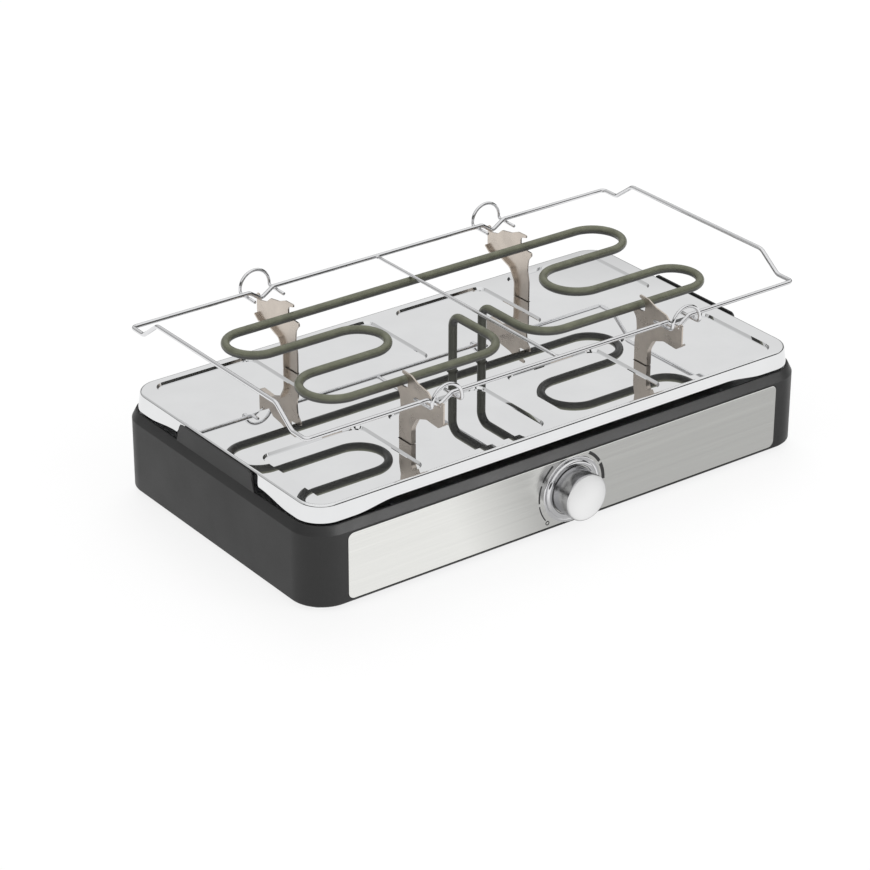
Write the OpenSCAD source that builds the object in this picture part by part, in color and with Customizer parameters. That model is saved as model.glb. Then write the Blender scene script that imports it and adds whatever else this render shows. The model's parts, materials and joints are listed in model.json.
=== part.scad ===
// Electric raclette base: a low moulded housing with a steel front, a polished tray,
// a bent heating element on four hooked brackets, and a loose wire rack that rests on them.
// X runs along the front, -Y is the front with the knob, +Z is up, and the feet stand on Z = 0.

/* [Housing] */
// Width of the housing, left to right
base_w = 450; // [420:1:500]
// Depth of the housing, front to back
base_d = 249; // [240:1:280]
// Height of the upright housing walls
wall_h = 55.4; // [54:0.2:75]
// Corner radius of the housing, seen from above
corner_r = 26; // [25:1:32]
// Thickness of the moulded walls
shell_t = 2.5; // [2:0.1:3]
// Height of the sloped band over the walls
band_h = 6.5; // [5:0.5:9]
// How far the sloped band leans in
band_in = 3.2; // [2:0.1:4]
// Height of the rubber feet
foot_h = 3.5; // [2:0.5:6]
// Diameter of the rubber feet
foot_d = 18; // [14:1:24]
// Length of the two locating tabs at the tray's ends, along their top
tab_len = 90; // [60:1:120]

/* [Front] */
// Length of the steel front panel
panel_w = 390; // [340:1:400]
// Thickness of the steel front panel
panel_t = 0.8; // [0.6:0.1:1.2]
// Height of the knob's centre over the housing's lower edge
knob_z = 27.4; // [27:0.2:29]
// Diameter of the knob
knob_d = 36.6; // [30:0.2:40]
// How far the knob stands out in front of the housing
knob_reach = 17.4; // [15:0.2:22]

/* [Tray] */
// Height of the tray's deck over the housing's rim
deck_rise = 14.4; // [12:0.2:18]
// Depth of the tray's skirt at its corners
skirt_h = 13; // [9:0.5:13]
// How far the skirt leans out
skirt_flare = 1.8; // [1:0.1:2.2]
// Thickness of the tray's sheet
tray_t = 0.8; // [0.6:0.1:1.2]
// Width of one pan place
place_w = 86; // [76:1:92]
// Depth of one pan place, front to back
place_d = 82; // [70:1:84]
// Distance between neighbouring pan places
place_pitch = 107.5; // [104:0.5:112]
// How deep the pan places are pressed
place_press = 1.8; // [1:0.1:2.5]

/* [Heating element] */
// Diameter of the element's tube
tube_d = 6.5; // [6:0.1:8]
// Height of the tube's centre over the deck
tube_rise = 45.6; // [40:0.2:56]
// Distance of the outer runs from the middle line
outer_run = 66.8; // [65:0.2:68.4]
// Distance of the inner runs from the middle line
inner_run = 24.2; // [20:0.2:27]
// Length of the tube's serpentine, centre to centre
run_len = 354.5; // [330:0.5:380]
// Distance between the two inner turns, centre to centre
inner_gap = 150; // [130:0.5:170]
// Distance between the element's two legs
leg_pitch = 26.8; // [24:0.2:32]

/* [Rack] */
// Length of the rack, wire centre to wire centre
rack_w = 437; // [420:1:460]
// Depth of the rack, wire centre to wire centre
rack_d = 220.4; // [216:0.2:230]
// Diameter of the rack's outer wire
wire_d = 3.3; // [3:0.1:4]
// Diameter of the cross wire and of the loops
thin_wire_d = 2.6; // [2:0.1:3]
// Height of the rack's wire over the tube's centre
rack_rise = 4.9; // [4.9:0.1:7]
// Rise of the wires at the rack's two ends
end_rise = 14; // [8:0.5:20]
// Depth of the dips that sit in the brackets
dip_h = 6.8; // [5:0.1:7.5]
// Radius of the four loops
loop_r = 12.8; // [10:0.2:14]

/* [Brackets] */
// Distance of the brackets from the middle
bracket_x = 107.5; // [104:0.5:112]
// Thickness of the bracket plate
plate_t = 1.2; // [1:0.1:1.5]
// Width of the upright strip of a bracket
strip_w = 14.5; // [12:0.5:17]
// How far a bracket's head reaches from the strip's inner edge
head_reach = 52; // [50:0.5:56]

/* [Hidden] */
$fn = 64;
// Overrun of every cut past the face that it opens
over = 1;
// Play between pieces that lie beside each other
play = 0.3;
// Radial play of a turning shaft or a screw in its hole
fit_play = 0.05;
// Overlap of bosses and ribs with the wall that they grow from
weld = 0.5;
// Sides of bent wires and leads, and steps of a rounded corner in an outline
wire_sides = 24;
arc_steps = 5;
// Sides of the rack's outer wire and the widest turn between two of its rings
ring_sides = 16;
ring_step = 15;
// Shortest straight that a bent rod still draws
least_len = 0.001;

// Levels, counted up from the surface under the feet
base_z = foot_h;
band_z = base_z + wall_h;
rim_z = band_z + band_h;
deck_z = rim_z + deck_rise;
tube_z = deck_z + tube_rise;
rack_z = tube_z + rack_rise;

// The housing's middle lies off the origin, so that the knob and the cord gland balance
gland_reach = 4;
body_y = (knob_reach - gland_reach) / 2;

// Housing: rim, ledge that carries the heat shield, and posts for the cover's screws
rim_t = 1.6;
ledge_drop = 4;
ledge_z = rim_z - ledge_drop;
ledge_in = 14;
edge_cut = 1.2;
post_d = 9;
tab_t = 1.4;
tab_slant = 5;
tab_top_r = 4;
cover_t = 2;
foot_in = 36;
foot_pin_d = 6;
screw_d = 3;
head_d = 6;
head_h = 1.6;
cover_screw_len = 12;
post_place = corner_r - shell_t - post_d / 2 + weld;

// Underside vents of the cover
vent_w = 4;
vent_len = 70;
vent_pitch = 9;
vent_count = 6;
vent_y = 45;

// Front panel, its pressed ring and its printed dial
panel_sink = 0.6;
panel_margin_low = 2.6;
panel_margin_top = 1.5;
panel_r = 5;
panel_hole_d = 10;
panel_h = wall_h - panel_margin_low - panel_margin_top;
panel_mid = panel_margin_low + panel_h / 2 - knob_z;
panel_face = panel_t - panel_sink;
bezel_d = 51.2;
bezel_t = 0.6;
step_d = 45;
step_t = 1.8;
bezel_gap = 0.8;
mark_r = 30.2;
mark_t = 0.15;
mark_span = 27;
rest_turn = 5;
mark_w = 0.9;
mark_grow = 0.3;
mark_count = 8;
zero_r = 1.7;
zero_w = 0.6;
zero_turn = 224;
start_turn = 6;
mark_pitch = mark_span + rest_turn;
mark_first = zero_turn - start_turn;

// Knob, shaft and thermostat
knob_lift = 1.2;
knob_wall = 1.2;
knob_bevel = 0.8;
hub_d = 13;
hub_t = 2.4;
shaft_d = 6;
shaft_flat = 1.5;
shaft_grip = 9;
shaft_in = 9;
switch_w = 34;
switch_h = 26;
switch_deep = 18;
switch_neck_d = 10;
switch_neck_len = 2;
ear_pitch = 44;
ear_plate_w = 54;
ear_plate_h = 18;
ear_plate_t = 1.2;
ear_boss_len = 4;
ear_boss_d = 8;
blade_w = 6.3;
blade_t = 0.8;
blade_len = 9;
blade_pitch = 20;
hub_top = knob_reach - knob_wall;
shaft_top = hub_top - over;
switch_in = shell_t + ear_boss_len + ear_plate_t;
switch_end = switch_in + switch_deep;
blade_end = switch_end + blade_len;
blade_y = blade_end - base_d / 2;
blade_z = base_z + knob_z;

// Heat shield under the tray
shield_t = 0.8;
shield_gap = 0.8;
shield_deep = 6;
shield_floor = ledge_z - shield_deep;
shield_screw_x = 150;
shield_boss_len = 10;
floor_top = shield_floor + shield_t;
wall_in = ledge_in + shield_gap;
flange_in = band_in + rim_t + shield_gap;
ledge_mid = (flange_in + ledge_in) / 2;

// Tray: rim line of the skirt, its raised edge and the slits in the deck
tray_gap = 1.7;
skirt_lift = 3.6;
skirt_ramp = 38;
skirt_flat_x = 150;
tab_clear = 3;
place_r = 9;
place_y = 69.5;
slit_w = 3;
leg_hole_d = 8.6;
stud_d = 4;
stud_in = 21.5;
spacer_d = 9;
nut_af = 7;
nut_h = 3;
stud_low = shield_floor - nut_h - over;
skirt_low = deck_z - skirt_h;
skirt_lean = skirt_flare / skirt_h;
tray_in = band_in + tray_gap + skirt_flare;

// Heating element
left_lean = 4.8;
right_lean = 2.4;
left_short = 3.6;
leg_bend_r = 9;
run_bend_r = 24;
leg_drop = 16;
flange_w = 52;
flange_d = 18;
flange_t = 1.5;
flange_screw_pitch = 42;
seal_d = 8;
seal_h = 6;
pin_d = 3;
pin_h = 9;
leg_low = shield_floor - leg_drop;
pin_low = leg_low - seal_h - pin_h;
run_x = run_len / 2;
turn_x = inner_gap / 2;
// Y of the inner runs, front and back, on the left and on the right: the bent tube is uneven
left_runs = [-inner_run + left_lean, inner_run];
right_runs = [-inner_run - right_lean, inner_run - right_lean];

// Brackets: the nose stands out past the rack's wire, and the strip stands in from the nose
nose_out = 5.3;
strip_edge = rack_d / 2 + nose_out - head_reach;
stud_y = strip_edge - stud_in;
twist_w = 7;
twist_h = 5;
twist_turn = 35;
twist_slot = 1.8;
lip_w = 4;
seat_gap = 0.3;
hump_over = 4.9;
notch_w = 7.5;
notch_slope = 2;
nose_up = 4.8;
bracket_rise = tube_z + tube_d / 2 + hump_over - deck_z;
notch_z = rack_z - dip_h - wire_d / 2 - seat_gap;

// Points of the bracket's plate, as shares of the head's reach and of the plate's rise over
// the deck, and points of its hook, as shares of the tube's diameter from the tube's middle.
// The crown goes out from the tube like the hook, and up like the plate.
waist_shares = [[0, 0.3], [0.04, 0.48], [0.02, 0.65]];
hook_shares = [
    [-0.95, -1], [-0.95, -0.6], [0.1, -0.54], [1.12, -0.5],
    [1.12, 0.75], [0.1, 1], [0.1, 1.3]
];
crown_shares = [[1.65, 1], [2.93, 0.935], [4.69, 0.9]];
nose_shares = [[1, 0.56], [0.89, 0.48], [0.62, 0.5], [0.39, 0.42]];
// Radii of its corners, as shares of the tube's diameter
waist_r_shares = [1.8, 1.8, 1.2];
hook_r_shares = [0.15, 0.15, 0.09, 0.38, 0.46, 0.06, 0.1];
crown_r_shares = [0.38, 0.6, 0.23];
notch_r_shares = [0.23, 0.12, 0.08, 0.15];
nose_r_shares = [0.6, 0.6, 1.2, 0.9];
heel_r_shares = [1.5, 0];

// Rack
corner_bend = 3.5;
end_flat = 16;
end_slope = 19;
end_bend = 8;
dip_w = 21;
dip_bend = 4;
cross_x = 3;
loop_out = 8.8;
loop_in = 11;
foot_bend = 2.6;
touch = 0.25;

// Cord gland and inner wiring
gland_in = 75;
gland_z = 16;
gland_bore = 6.6;
gland_neck_d = 11;
gland_collar_d = 15;
gland_nut_d = 16;
gland_nut_h = 4;
gland_tail = 3;
block_w = 34;
block_d = 18;
block_h = 15;
block_off = 10;
block_y = 84;
block_lift = 2;
barrel_d = 5;
barrel_pitch = 10;
lead_d = 3;
lead_r = 6;
fuse_d = 5;
fuse_len = 24;
fuse_x = 62;
fuse_drop = 6;
clip_t = 0.8;
clip_len = 8;
clip_wing = 6;
gland_x = base_w / 2 - gland_in;
block_x = gland_x - block_off;
block_front = block_y - block_d / 2;
block_z = base_z + cover_t + block_lift;
barrel_z = block_z + block_h / 2;
fuse_z = shield_floor - fuse_drop;
earth_x = block_x - barrel_pitch;
earth_y = 58;
live_y = -48;
neutral_y = 40;
fuse_lead_y = 26;
fuse_lead_z = pin_low - lead_r - over;

// Directions, arcs and bent rods

function heading(a, b) = (b - a) / norm(b - a);
function turn(u, v) = acos(max(-1, min(1, u * v)));
function trim(u, v, r) = r * tan(turn(u, v) / 2);

// The arc that rounds the corner p between its neighbours a and b
function corner_arc(p, a, b, r) =
    let (
        u = heading(p, a),
        v = heading(p, b),
        half = turn(u, v) / 2,
        c = p + (u + v) / norm(u + v) * r / sin(half),
        s = p + u * r / tan(half) - c,
        e = p + v * r / tan(half) - c,
        from = atan2(s.y, s.x),
        sweep = (atan2(e.y, e.x) - from + 540) % 360 - 180
    )
    [for (k = [0:arc_steps]) c + r * [cos(from + sweep * k / arc_steps), sin(from + sweep * k / arc_steps)]];

// An outline whose corners are rounded, each with its own radius
function rounded_outline(points, radii) =
    let (n = len(points))
    [for (i = [0:n - 1])
        each radii[i] == 0
            ? [points[i]]
            : corner_arc(points[i], points[(i + n - 1) % n], points[(i + 1) % n], radii[i])];

// A round bar from one point to another
module bar(a, b, d, sides = wire_sides) {
    u = heading(a, b);
    translate(a)
        rotate([0, acos(u.z), atan2(u.y, u.x)])
            cylinder(h = norm(b - a), d = d, $fn = sides);
}

// The bend of a round bar at point p
module elbow(a, p, b, r, d, sides = wire_sides) {
    u = heading(a, p);
    v = heading(p, b);
    swing = turn(u, v);
    c = p + (v - u) / norm(v - u) * r / cos(swing / 2);
    x = (p - u * trim(u, v, r) - c) / r;
    n = cross(x, u);
    multmatrix([
        [x.x, u.x, n.x, c.x],
        [x.y, u.y, n.y, c.y],
        [x.z, u.z, n.z, c.z],
        [0, 0, 0, 1]
    ])
        rotate_extrude(angle = swing, $fn = 2 * sides)
            translate([r, 0])
                circle(d = d, $fn = sides);
}

// A round rod bent at its inner points
module bent_rod(points, bends, d) {
    last = len(points) - 2;
    for (i = [0:last]) {
        a = points[i];
        b = points[i + 1];
        u = heading(a, b);
        head = i == 0 ? 0 : trim(heading(points[i - 1], a), u, bends[i]);
        tail = i == last ? 0 : trim(u, heading(b, points[i + 2]), bends[i + 1]);
        if (norm(b - a) - head - tail > least_len)
            bar(a + u * head, b - u * tail, d);
    }
    for (i = [1:last])
        elbow(points[i - 1], points[i], points[i + 1], bends[i], d);
}

// Points and directions along the bend at point p
function bend_path(a, p, b, r, steps) =
    let (
        u = heading(a, p),
        v = heading(p, b),
        swing = turn(u, v),
        c = p + (v - u) / norm(v - u) * r / cos(swing / 2),
        x = (p - u * trim(u, v, r) - c) / r
    )
    [for (k = [0:steps])
        let (t = swing * k / steps)
        [c + r * (x * cos(t) + u * sin(t)), u * cos(t) - x * sin(t)]];

// A closed ring of bent wire, that runs nowhere straight up, swept as one mesh
module wire_ring(points, bends, d, sides = ring_sides) {
    n = len(points);
    path = [for (i = [0:n - 1])
        let (
            a = points[(i + n - 1) % n],
            p = points[i],
            b = points[(i + 1) % n],
            steps = ceil(turn(heading(a, p), heading(p, b)) / ring_step)
        )
        each bend_path(a, p, b, bends[i], steps)];
    m = len(path);
    skin = [for (at = path)
        let (
            side = cross(at[1], [0, 0, 1]),
            out = side / norm(side),
            up = cross(out, at[1])
        )
        for (j = [0:sides - 1])
            at[0] + d / 2 * (out * cos(360 * j / sides) + up * sin(360 * j / sides))];
    faces = [for (i = [0:m - 1])
        for (j = [0:sides - 1])
            let (
                a = i * sides + j,
                b = i * sides + (j + 1) % sides,
                c = (i + 1) % m * sides + (j + 1) % sides,
                e = (i + 1) % m * sides + j
            )
            each [[a, b, c], [a, c, e]]];
    polyhedron(skin, faces);
}

// A rod whose bends all have one radius
module even_rod(points, bend, d) {
    bent_rod(points, [for (p = points) bend], d);
}

// Shapes that follow the housing's outline

// Places every piece, so that the whole part's middle is at the origin
module placed() {
    translate([0, body_y, 0])
        children();
}

module rounded_rect(w, d, r) {
    square([w - 2 * r, d], center = true);
    square([w, d - 2 * r], center = true);
    for (x = [-1, 1])
        for (y = [-1, 1])
            translate([x * (w / 2 - r), y * (d / 2 - r)])
                circle(r);
}

module slot(l, w) {
    square([l - w, w], center = true);
    for (x = [-1, 1])
        translate([x * (l - w) / 2, 0])
            circle(d = w);
}

// A slab with the housing's outline, set in by a margin
module outline_slab(inset, z0, z1) {
    translate([0, 0, z0])
        linear_extrude(z1 - z0)
            rounded_rect(base_w - 2 * inset, base_d - 2 * inset, corner_r - inset);
}

// The same with walls that lean from one margin to another
module sloped_slab(inset0, inset1, z0, z1) {
    for (x = [-1, 1])
        for (y = [-1, 1])
            translate([x * (base_w / 2 - corner_r), y * (base_d / 2 - corner_r), z0])
                cylinder(h = z1 - z0, r1 = corner_r - inset0, r2 = corner_r - inset1);
    rotate([90, 0, 0])
        linear_extrude(base_d - 2 * corner_r, center = true)
            leaning(base_w / 2, inset0, inset1, z0, z1);
    rotate([90, 0, 90])
        linear_extrude(base_w - 2 * corner_r, center = true)
            leaning(base_d / 2, inset0, inset1, z0, z1);
}

module leaning(half, inset0, inset1, z0, z1) {
    polygon([
        [inset0 - half, z0],
        [half - inset0, z0],
        [half - inset1, z1],
        [inset1 - half, z1]
    ]);
}

// Turns a shape's X and Y to the front, so that its Z points out of the housing's face
module facing_front() {
    translate([0, -base_d / 2, base_z + knob_z])
        rotate([90, 0, 0])
            children();
}

module facing_back() {
    translate([gland_x, base_d / 2, base_z + gland_z])
        rotate([-90, 0, 0])
            children();
}

module at_posts() {
    for (x = [-1, 1])
        for (y = [-1, 1])
            translate([
                x * (base_w / 2 - corner_r + post_place * cos(45)),
                y * (base_d / 2 - corner_r + post_place * sin(45)),
                0
            ])
                children();
}

module at_shield_screws() {
    for (x = [-1, 1]) {
        for (y = [-1, 1])
            translate([x * shield_screw_x, y * (base_d / 2 - ledge_mid), 0])
                children();
        translate([x * (base_w / 2 - ledge_mid), 0, 0])
            children();
    }
}

module at_studs() {
    for (x = [-1, 1])
        for (y = [-1, 1])
            translate([x * bracket_x, y * stud_y, 0])
                children();
}

module at_ears() {
    for (x = [-1, 1])
        translate([x * ear_pitch / 2, 0, 0])
            children();
}

module at_legs() {
    for (x = [-1, 1])
        translate([x * leg_pitch / 2, 0, 0])
            children();
}

module at_flange_screws() {
    for (x = [-1, 1])
        translate([x * flange_screw_pitch / 2, 0, 0])
            children();
}

module at_feet() {
    for (x = [-1, 1])
        for (y = [-1, 1])
            translate([x * (base_w / 2 - foot_in), y * (base_d / 2 - foot_in), 0])
                children();
}

// Housing, its cover and feet

module tab() {
    half = tab_len / 2;
    rotate([90, 0, 90])
        linear_extrude(tab_t)
            polygon(rounded_outline(
                [
                    [-half - tab_slant, rim_z - weld],
                    [half + tab_slant, rim_z - weld],
                    [half, deck_z],
                    [-half, deck_z]
                ],
                [0, 0, tab_top_r, tab_top_r]
            ));
}

module housing() {
    color("#4a4a4a")
        placed()
            difference() {
                union() {
                    difference() {
                        union() {
                            sloped_slab(edge_cut, 0, base_z, base_z + edge_cut);
                            outline_slab(0, base_z + edge_cut, band_z);
                            sloped_slab(0, band_in, band_z, rim_z);
                        }
                        outline_slab(shell_t, base_z - over, ledge_z - shell_t);
                        outline_slab(ledge_in, base_z, rim_z + over);
                        outline_slab(band_in + rim_t, ledge_z, rim_z + over);
                    }
                    translate([band_in - base_w / 2, 0, 0])
                        tab();
                    translate([base_w / 2 - band_in - tab_t, 0, 0])
                        tab();
                    at_posts()
                        translate([0, 0, base_z + cover_t])
                            cylinder(h = ledge_z - weld - base_z - cover_t, d = post_d);
                    at_shield_screws()
                        translate([0, 0, ledge_z - shell_t - shield_boss_len])
                            cylinder(h = shield_boss_len + weld, d = ear_boss_d);
                    facing_front()
                        at_ears()
                            translate([0, 0, -shell_t - ear_boss_len])
                                cylinder(h = ear_boss_len + weld, d = ear_boss_d);
                }
                at_posts()
                    cylinder(h = base_z + cover_t + cover_screw_len, d = screw_d + 2 * fit_play);
                at_shield_screws()
                    translate([0, 0, ledge_z - shell_t - shield_boss_len - over])
                        cylinder(h = shield_boss_len + shell_t + 2 * over, d = screw_d + 2 * fit_play);
                facing_front() {
                    translate([0, panel_mid, -panel_sink])
                        linear_extrude(panel_sink + over)
                            rounded_rect(panel_w + 2 * play, panel_h + 2 * play, panel_r + play);
                    translate([0, 0, -shell_t - over])
                        cylinder(h = shell_t + 2 * over, d = panel_hole_d);
                    at_ears()
                        translate([0, 0, -shell_t - ear_boss_len - over])
                            cylinder(h = ear_boss_len + over, d = screw_d + 2 * fit_play);
                }
                facing_back()
                    translate([0, 0, -shell_t - over])
                        cylinder(h = shell_t + 2 * over, d = gland_neck_d + 2 * fit_play);
            }
}

module bottom_cover() {
    color("#3c3c3c")
        placed()
            difference() {
                union() {
                    outline_slab(shell_t + play, base_z, base_z + cover_t);
                    translate([block_x - block_w / 2, block_y - block_d / 2, base_z + cover_t - weld])
                        cube([block_w, block_d, block_lift + weld]);
                }
                at_posts()
                    translate([0, 0, base_z - over])
                        cylinder(h = cover_t + 2 * over, d = screw_d + 2 * fit_play);
                at_feet()
                    translate([0, 0, base_z - over])
                        cylinder(h = cover_t + 2 * over, d = foot_pin_d + 2 * fit_play);
                for (y = [-1, 1])
                    for (i = [0:vent_count - 1])
                        translate([0, y * vent_y + (i - (vent_count - 1) / 2) * vent_pitch, base_z - over])
                            linear_extrude(cover_t + 2 * over)
                                slot(vent_len, vent_w);
            }
}

module cover_screws() {
    color("#9a9a9a")
        placed()
            at_posts() {
                translate([0, 0, base_z - head_h])
                    cylinder(h = head_h, d = head_d);
                translate([0, 0, base_z])
                    cylinder(h = cover_t + cover_screw_len - over, d = screw_d);
            }
}

module feet() {
    color("#262626")
        placed()
            at_feet() {
                cylinder(h = base_z, d = foot_d);
                cylinder(h = base_z + cover_t, d = foot_pin_d);
            }
}

// Front panel, dial and knob

module front_panel() {
    color("#c9c9c4")
        placed()
            facing_front()
                difference() {
                    translate([0, panel_mid, -panel_sink])
                        linear_extrude(panel_t)
                            rounded_rect(panel_w, panel_h, panel_r);
                    translate([0, 0, -panel_sink - over])
                        cylinder(h = panel_t + 2 * over, d = panel_hole_d);
                }
}

// One curved dash for each heat step, wider as the heat grows, and a ring for off.
// A dash that would run past the panel's upper edge is left out.
module dial_marks() {
    color("#2a2a2a")
        placed()
            facing_front()
                translate([0, 0, panel_face]) {
                    for (i = [0:mark_count - 1]) {
                        start = mark_first - i * mark_pitch;
                        top = mark_r * max(sin(start), sin(start - mark_span));
                        if (top < panel_mid + panel_h / 2)
                            rotate([0, 0, start - mark_span])
                                rotate_extrude(angle = mark_span)
                                    translate([mark_r - mark_w - i * mark_grow, 0])
                                        square([mark_w + i * mark_grow, mark_t]);
                    }
                    rotate([0, 0, zero_turn])
                        translate([mark_r, 0, 0])
                            difference() {
                                cylinder(h = mark_t, r = zero_r);
                                translate([0, 0, -over])
                                    cylinder(h = mark_t + 2 * over, r = zero_r - zero_w);
                            }
                }
}

module knob_bezel() {
    color("#d5d5d5")
        placed()
            facing_front()
                translate([0, 0, panel_face])
                    difference() {
                        union() {
                            cylinder(h = bezel_t, d = bezel_d);
                            cylinder(h = step_t, d = step_d);
                        }
                        translate([0, 0, -over])
                            cylinder(h = step_t + 2 * over, d = knob_d + 2 * bezel_gap);
                    }
}

module knob_cap() {
    r = knob_d / 2;
    color("#e2e2e2")
        placed()
            facing_front()
                rotate_extrude()
                    polygon([
                        [r - knob_wall, knob_lift],
                        [r, knob_lift],
                        [r, knob_reach - knob_bevel],
                        [r - knob_bevel, knob_reach],
                        [0, knob_reach],
                        [0, knob_reach - knob_wall],
                        [r - knob_wall, knob_reach - knob_wall]
                    ]);
}

// The shaft's round section with its flat, cut the same in the hub
module shaft_section(d) {
    difference() {
        circle(d = d);
        translate([-d, d / 2 - shaft_flat])
            square([2 * d, d]);
    }
}

module knob_hub() {
    color("#555555")
        placed()
            facing_front()
                difference() {
                    union() {
                        translate([0, 0, hub_top - hub_t])
                            cylinder(h = hub_t, r = knob_d / 2 - knob_wall - fit_play);
                        translate([0, 0, knob_lift])
                            cylinder(h = hub_top - knob_lift, d = hub_d);
                    }
                    translate([0, 0, shaft_top - shaft_grip])
                        linear_extrude(shaft_grip)
                            shaft_section(shaft_d + 2 * fit_play);
                    translate([0, 0, knob_lift - over])
                        cylinder(h = shaft_top - shaft_grip - knob_lift + over, d = shaft_d + 2 * fit_play);
                }
}

// Thermostat behind the front panel

module thermostat_shaft() {
    color("#b8b8b8")
        placed()
            facing_front() {
                translate([0, 0, -switch_in - shaft_in])
                    cylinder(h = switch_in + shaft_in + shaft_top - shaft_grip, d = shaft_d);
                translate([0, 0, shaft_top - shaft_grip])
                    linear_extrude(shaft_grip)
                        shaft_section(shaft_d);
            }
}

module thermostat_body() {
    color("#e6e0d2")
        placed()
            facing_front()
                difference() {
                    union() {
                        translate([-switch_w / 2, -switch_h / 2, -switch_end])
                            cube([switch_w, switch_h, switch_deep]);
                        translate([0, 0, -switch_in - weld])
                            cylinder(h = ear_plate_t + switch_neck_len + weld, d = switch_neck_d);
                    }
                    translate([0, 0, -switch_in - shaft_in - play])
                        cylinder(
                            h = switch_in + shaft_in + play,
                            d = shaft_d + 2 * fit_play
                        );
                }
}

module thermostat_plate() {
    color("#b5b5b0")
        placed()
            facing_front()
                translate([0, 0, -switch_in])
                    difference() {
                        linear_extrude(ear_plate_t)
                            rounded_rect(ear_plate_w, ear_plate_h, screw_d);
                        translate([0, 0, -over]) {
                            cylinder(h = ear_plate_t + 2 * over, d = switch_neck_d + 2 * fit_play);
                            at_ears()
                                cylinder(h = ear_plate_t + 2 * over, d = screw_d + 2 * fit_play);
                        }
                    }
}

module thermostat_screws() {
    color("#9a9a9a")
        placed()
            facing_front()
                at_ears() {
                    translate([0, 0, -switch_in - head_h])
                        cylinder(h = head_h, d = head_d);
                    translate([0, 0, -switch_in])
                        cylinder(h = ear_plate_t + ear_boss_len - play, d = screw_d);
                }
}

module thermostat_blades() {
    color("#c8b060")
        placed()
            facing_front()
                for (x = [-1, 1])
                    translate([x * blade_pitch / 2 - blade_t / 2, -blade_w / 2, -blade_end])
                        cube([blade_t, blade_w, blade_len]);
}

// Heat shield, tray and what joins them

module heat_shield() {
    color("#b9bbbd")
        placed()
            difference() {
                union() {
                    outline_slab(flange_in, ledge_z, ledge_z + shield_t);
                    outline_slab(wall_in, shield_floor, ledge_z + shield_t);
                }
                outline_slab(wall_in + shield_t, floor_top, ledge_z + shield_t + over);
                translate([0, 0, shield_floor - over]) {
                    at_shield_screws()
                        cylinder(h = shield_deep + shield_t + 2 * over, d = screw_d + 2 * fit_play);
                    at_studs()
                        cylinder(h = shield_t + 2 * over, d = stud_d + 2 * fit_play);
                    at_flange_screws()
                        cylinder(h = shield_t + 2 * over, d = screw_d + 2 * fit_play);
                    at_legs()
                        cylinder(h = shield_t + 2 * over, d = leg_hole_d);
                    translate([earth_x, earth_y, 0])
                        cylinder(h = shield_t + 2 * over, d = screw_d + 2 * fit_play);
                    for (x = [-1, 1])
                        for (y = [-1, 1])
                            translate([
                                x * bracket_x - twist_slot / 2,
                                y * (strip_edge + strip_w / 2) - twist_w / 2 - play,
                                0
                            ])
                                cube([twist_slot, twist_w + 2 * play, shield_t + 2 * over]);
                }
            }
}

module shield_screws() {
    color("#9a9a9a")
        placed()
            at_shield_screws()
                translate([0, 0, ledge_z + shield_t]) {
                    cylinder(h = head_h, d = head_d);
                    translate([0, 0, -shield_t - shell_t - shield_boss_len + over])
                        cylinder(h = shield_t + shell_t + shield_boss_len - over, d = screw_d);
                }
}

module at_places() {
    for (i = [-1.5:1:1.5])
        for (y = [-1, 1])
            translate([i * place_pitch, y * place_y, 0])
                children();
}

module tray() {
    color("#dcdcde")
        placed()
            difference() {
                union() {
                    difference() {
                        sloped_slab(tray_in - skirt_flare, tray_in, skirt_low, deck_z);
                        sloped_slab(
                            tray_in - skirt_flare + tray_t - skirt_lean * over,
                            tray_in + tray_t - skirt_lean * tray_t,
                            skirt_low - over,
                            deck_z - tray_t
                        );
                        skirt_cuts();
                    }
                    at_places()
                        translate([0, 0, deck_z - place_press - tray_t])
                            linear_extrude(place_press + tray_t)
                                rounded_rect(place_w, place_d, place_r);
                }
                at_places()
                    translate([0, 0, deck_z - place_press])
                        linear_extrude(place_press + over)
                            rounded_rect(place_w - 2 * tray_t, place_d - 2 * tray_t, place_r - tray_t);
                translate([0, 0, deck_z - tray_t - over]) {
                    at_legs()
                        cylinder(h = tray_t + 2 * over, d = leg_hole_d);
                    for (x = [-1, 1])
                        for (y = [-1, 1])
                            translate([x * bracket_x, y * (strip_edge + strip_w / 2), 0])
                                linear_extrude(tray_t + 2 * over)
                                    square([slit_w, strip_w + 2 * play], center = true);
                }
            }
}

// The skirt is deepest at its corners: it is cut away between them, and higher at the tabs
module skirt_cuts() {
    low = skirt_low - over;
    high = skirt_low + skirt_lift;
    notch = deck_z - 2 * tray_t;
    side_end = base_d / 2 - corner_r;
    tab_half = tab_len / 2 + tab_clear;
    rotate([90, 0, 0])
        linear_extrude(base_d, center = true)
            polygon([
                [-skirt_flat_x - skirt_ramp, low],
                [skirt_flat_x + skirt_ramp, low],
                [skirt_flat_x, high],
                [-skirt_flat_x, high]
            ]);
    rotate([90, 0, 90])
        linear_extrude(base_w, center = true)
            polygon([
                [-side_end, low],
                [side_end, low],
                [tab_half + tab_slant, high],
                [tab_half, notch],
                [-tab_half, notch],
                [-tab_half - tab_slant, high]
            ]);
}

module tray_studs() {
    color("#a8a8a8")
        placed()
            at_studs()
                translate([0, 0, stud_low])
                    cylinder(h = deck_z - tray_t - stud_low, d = stud_d);
}

module tray_spacers() {
    color("#b0b0b0")
        placed()
            at_studs()
                translate([0, 0, floor_top])
                    difference() {
                        cylinder(h = deck_z - tray_t - floor_top, d = spacer_d);
                        translate([0, 0, -over])
                            cylinder(h = deck_z - floor_top + over, d = stud_d + 2 * fit_play);
                    }
}

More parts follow.
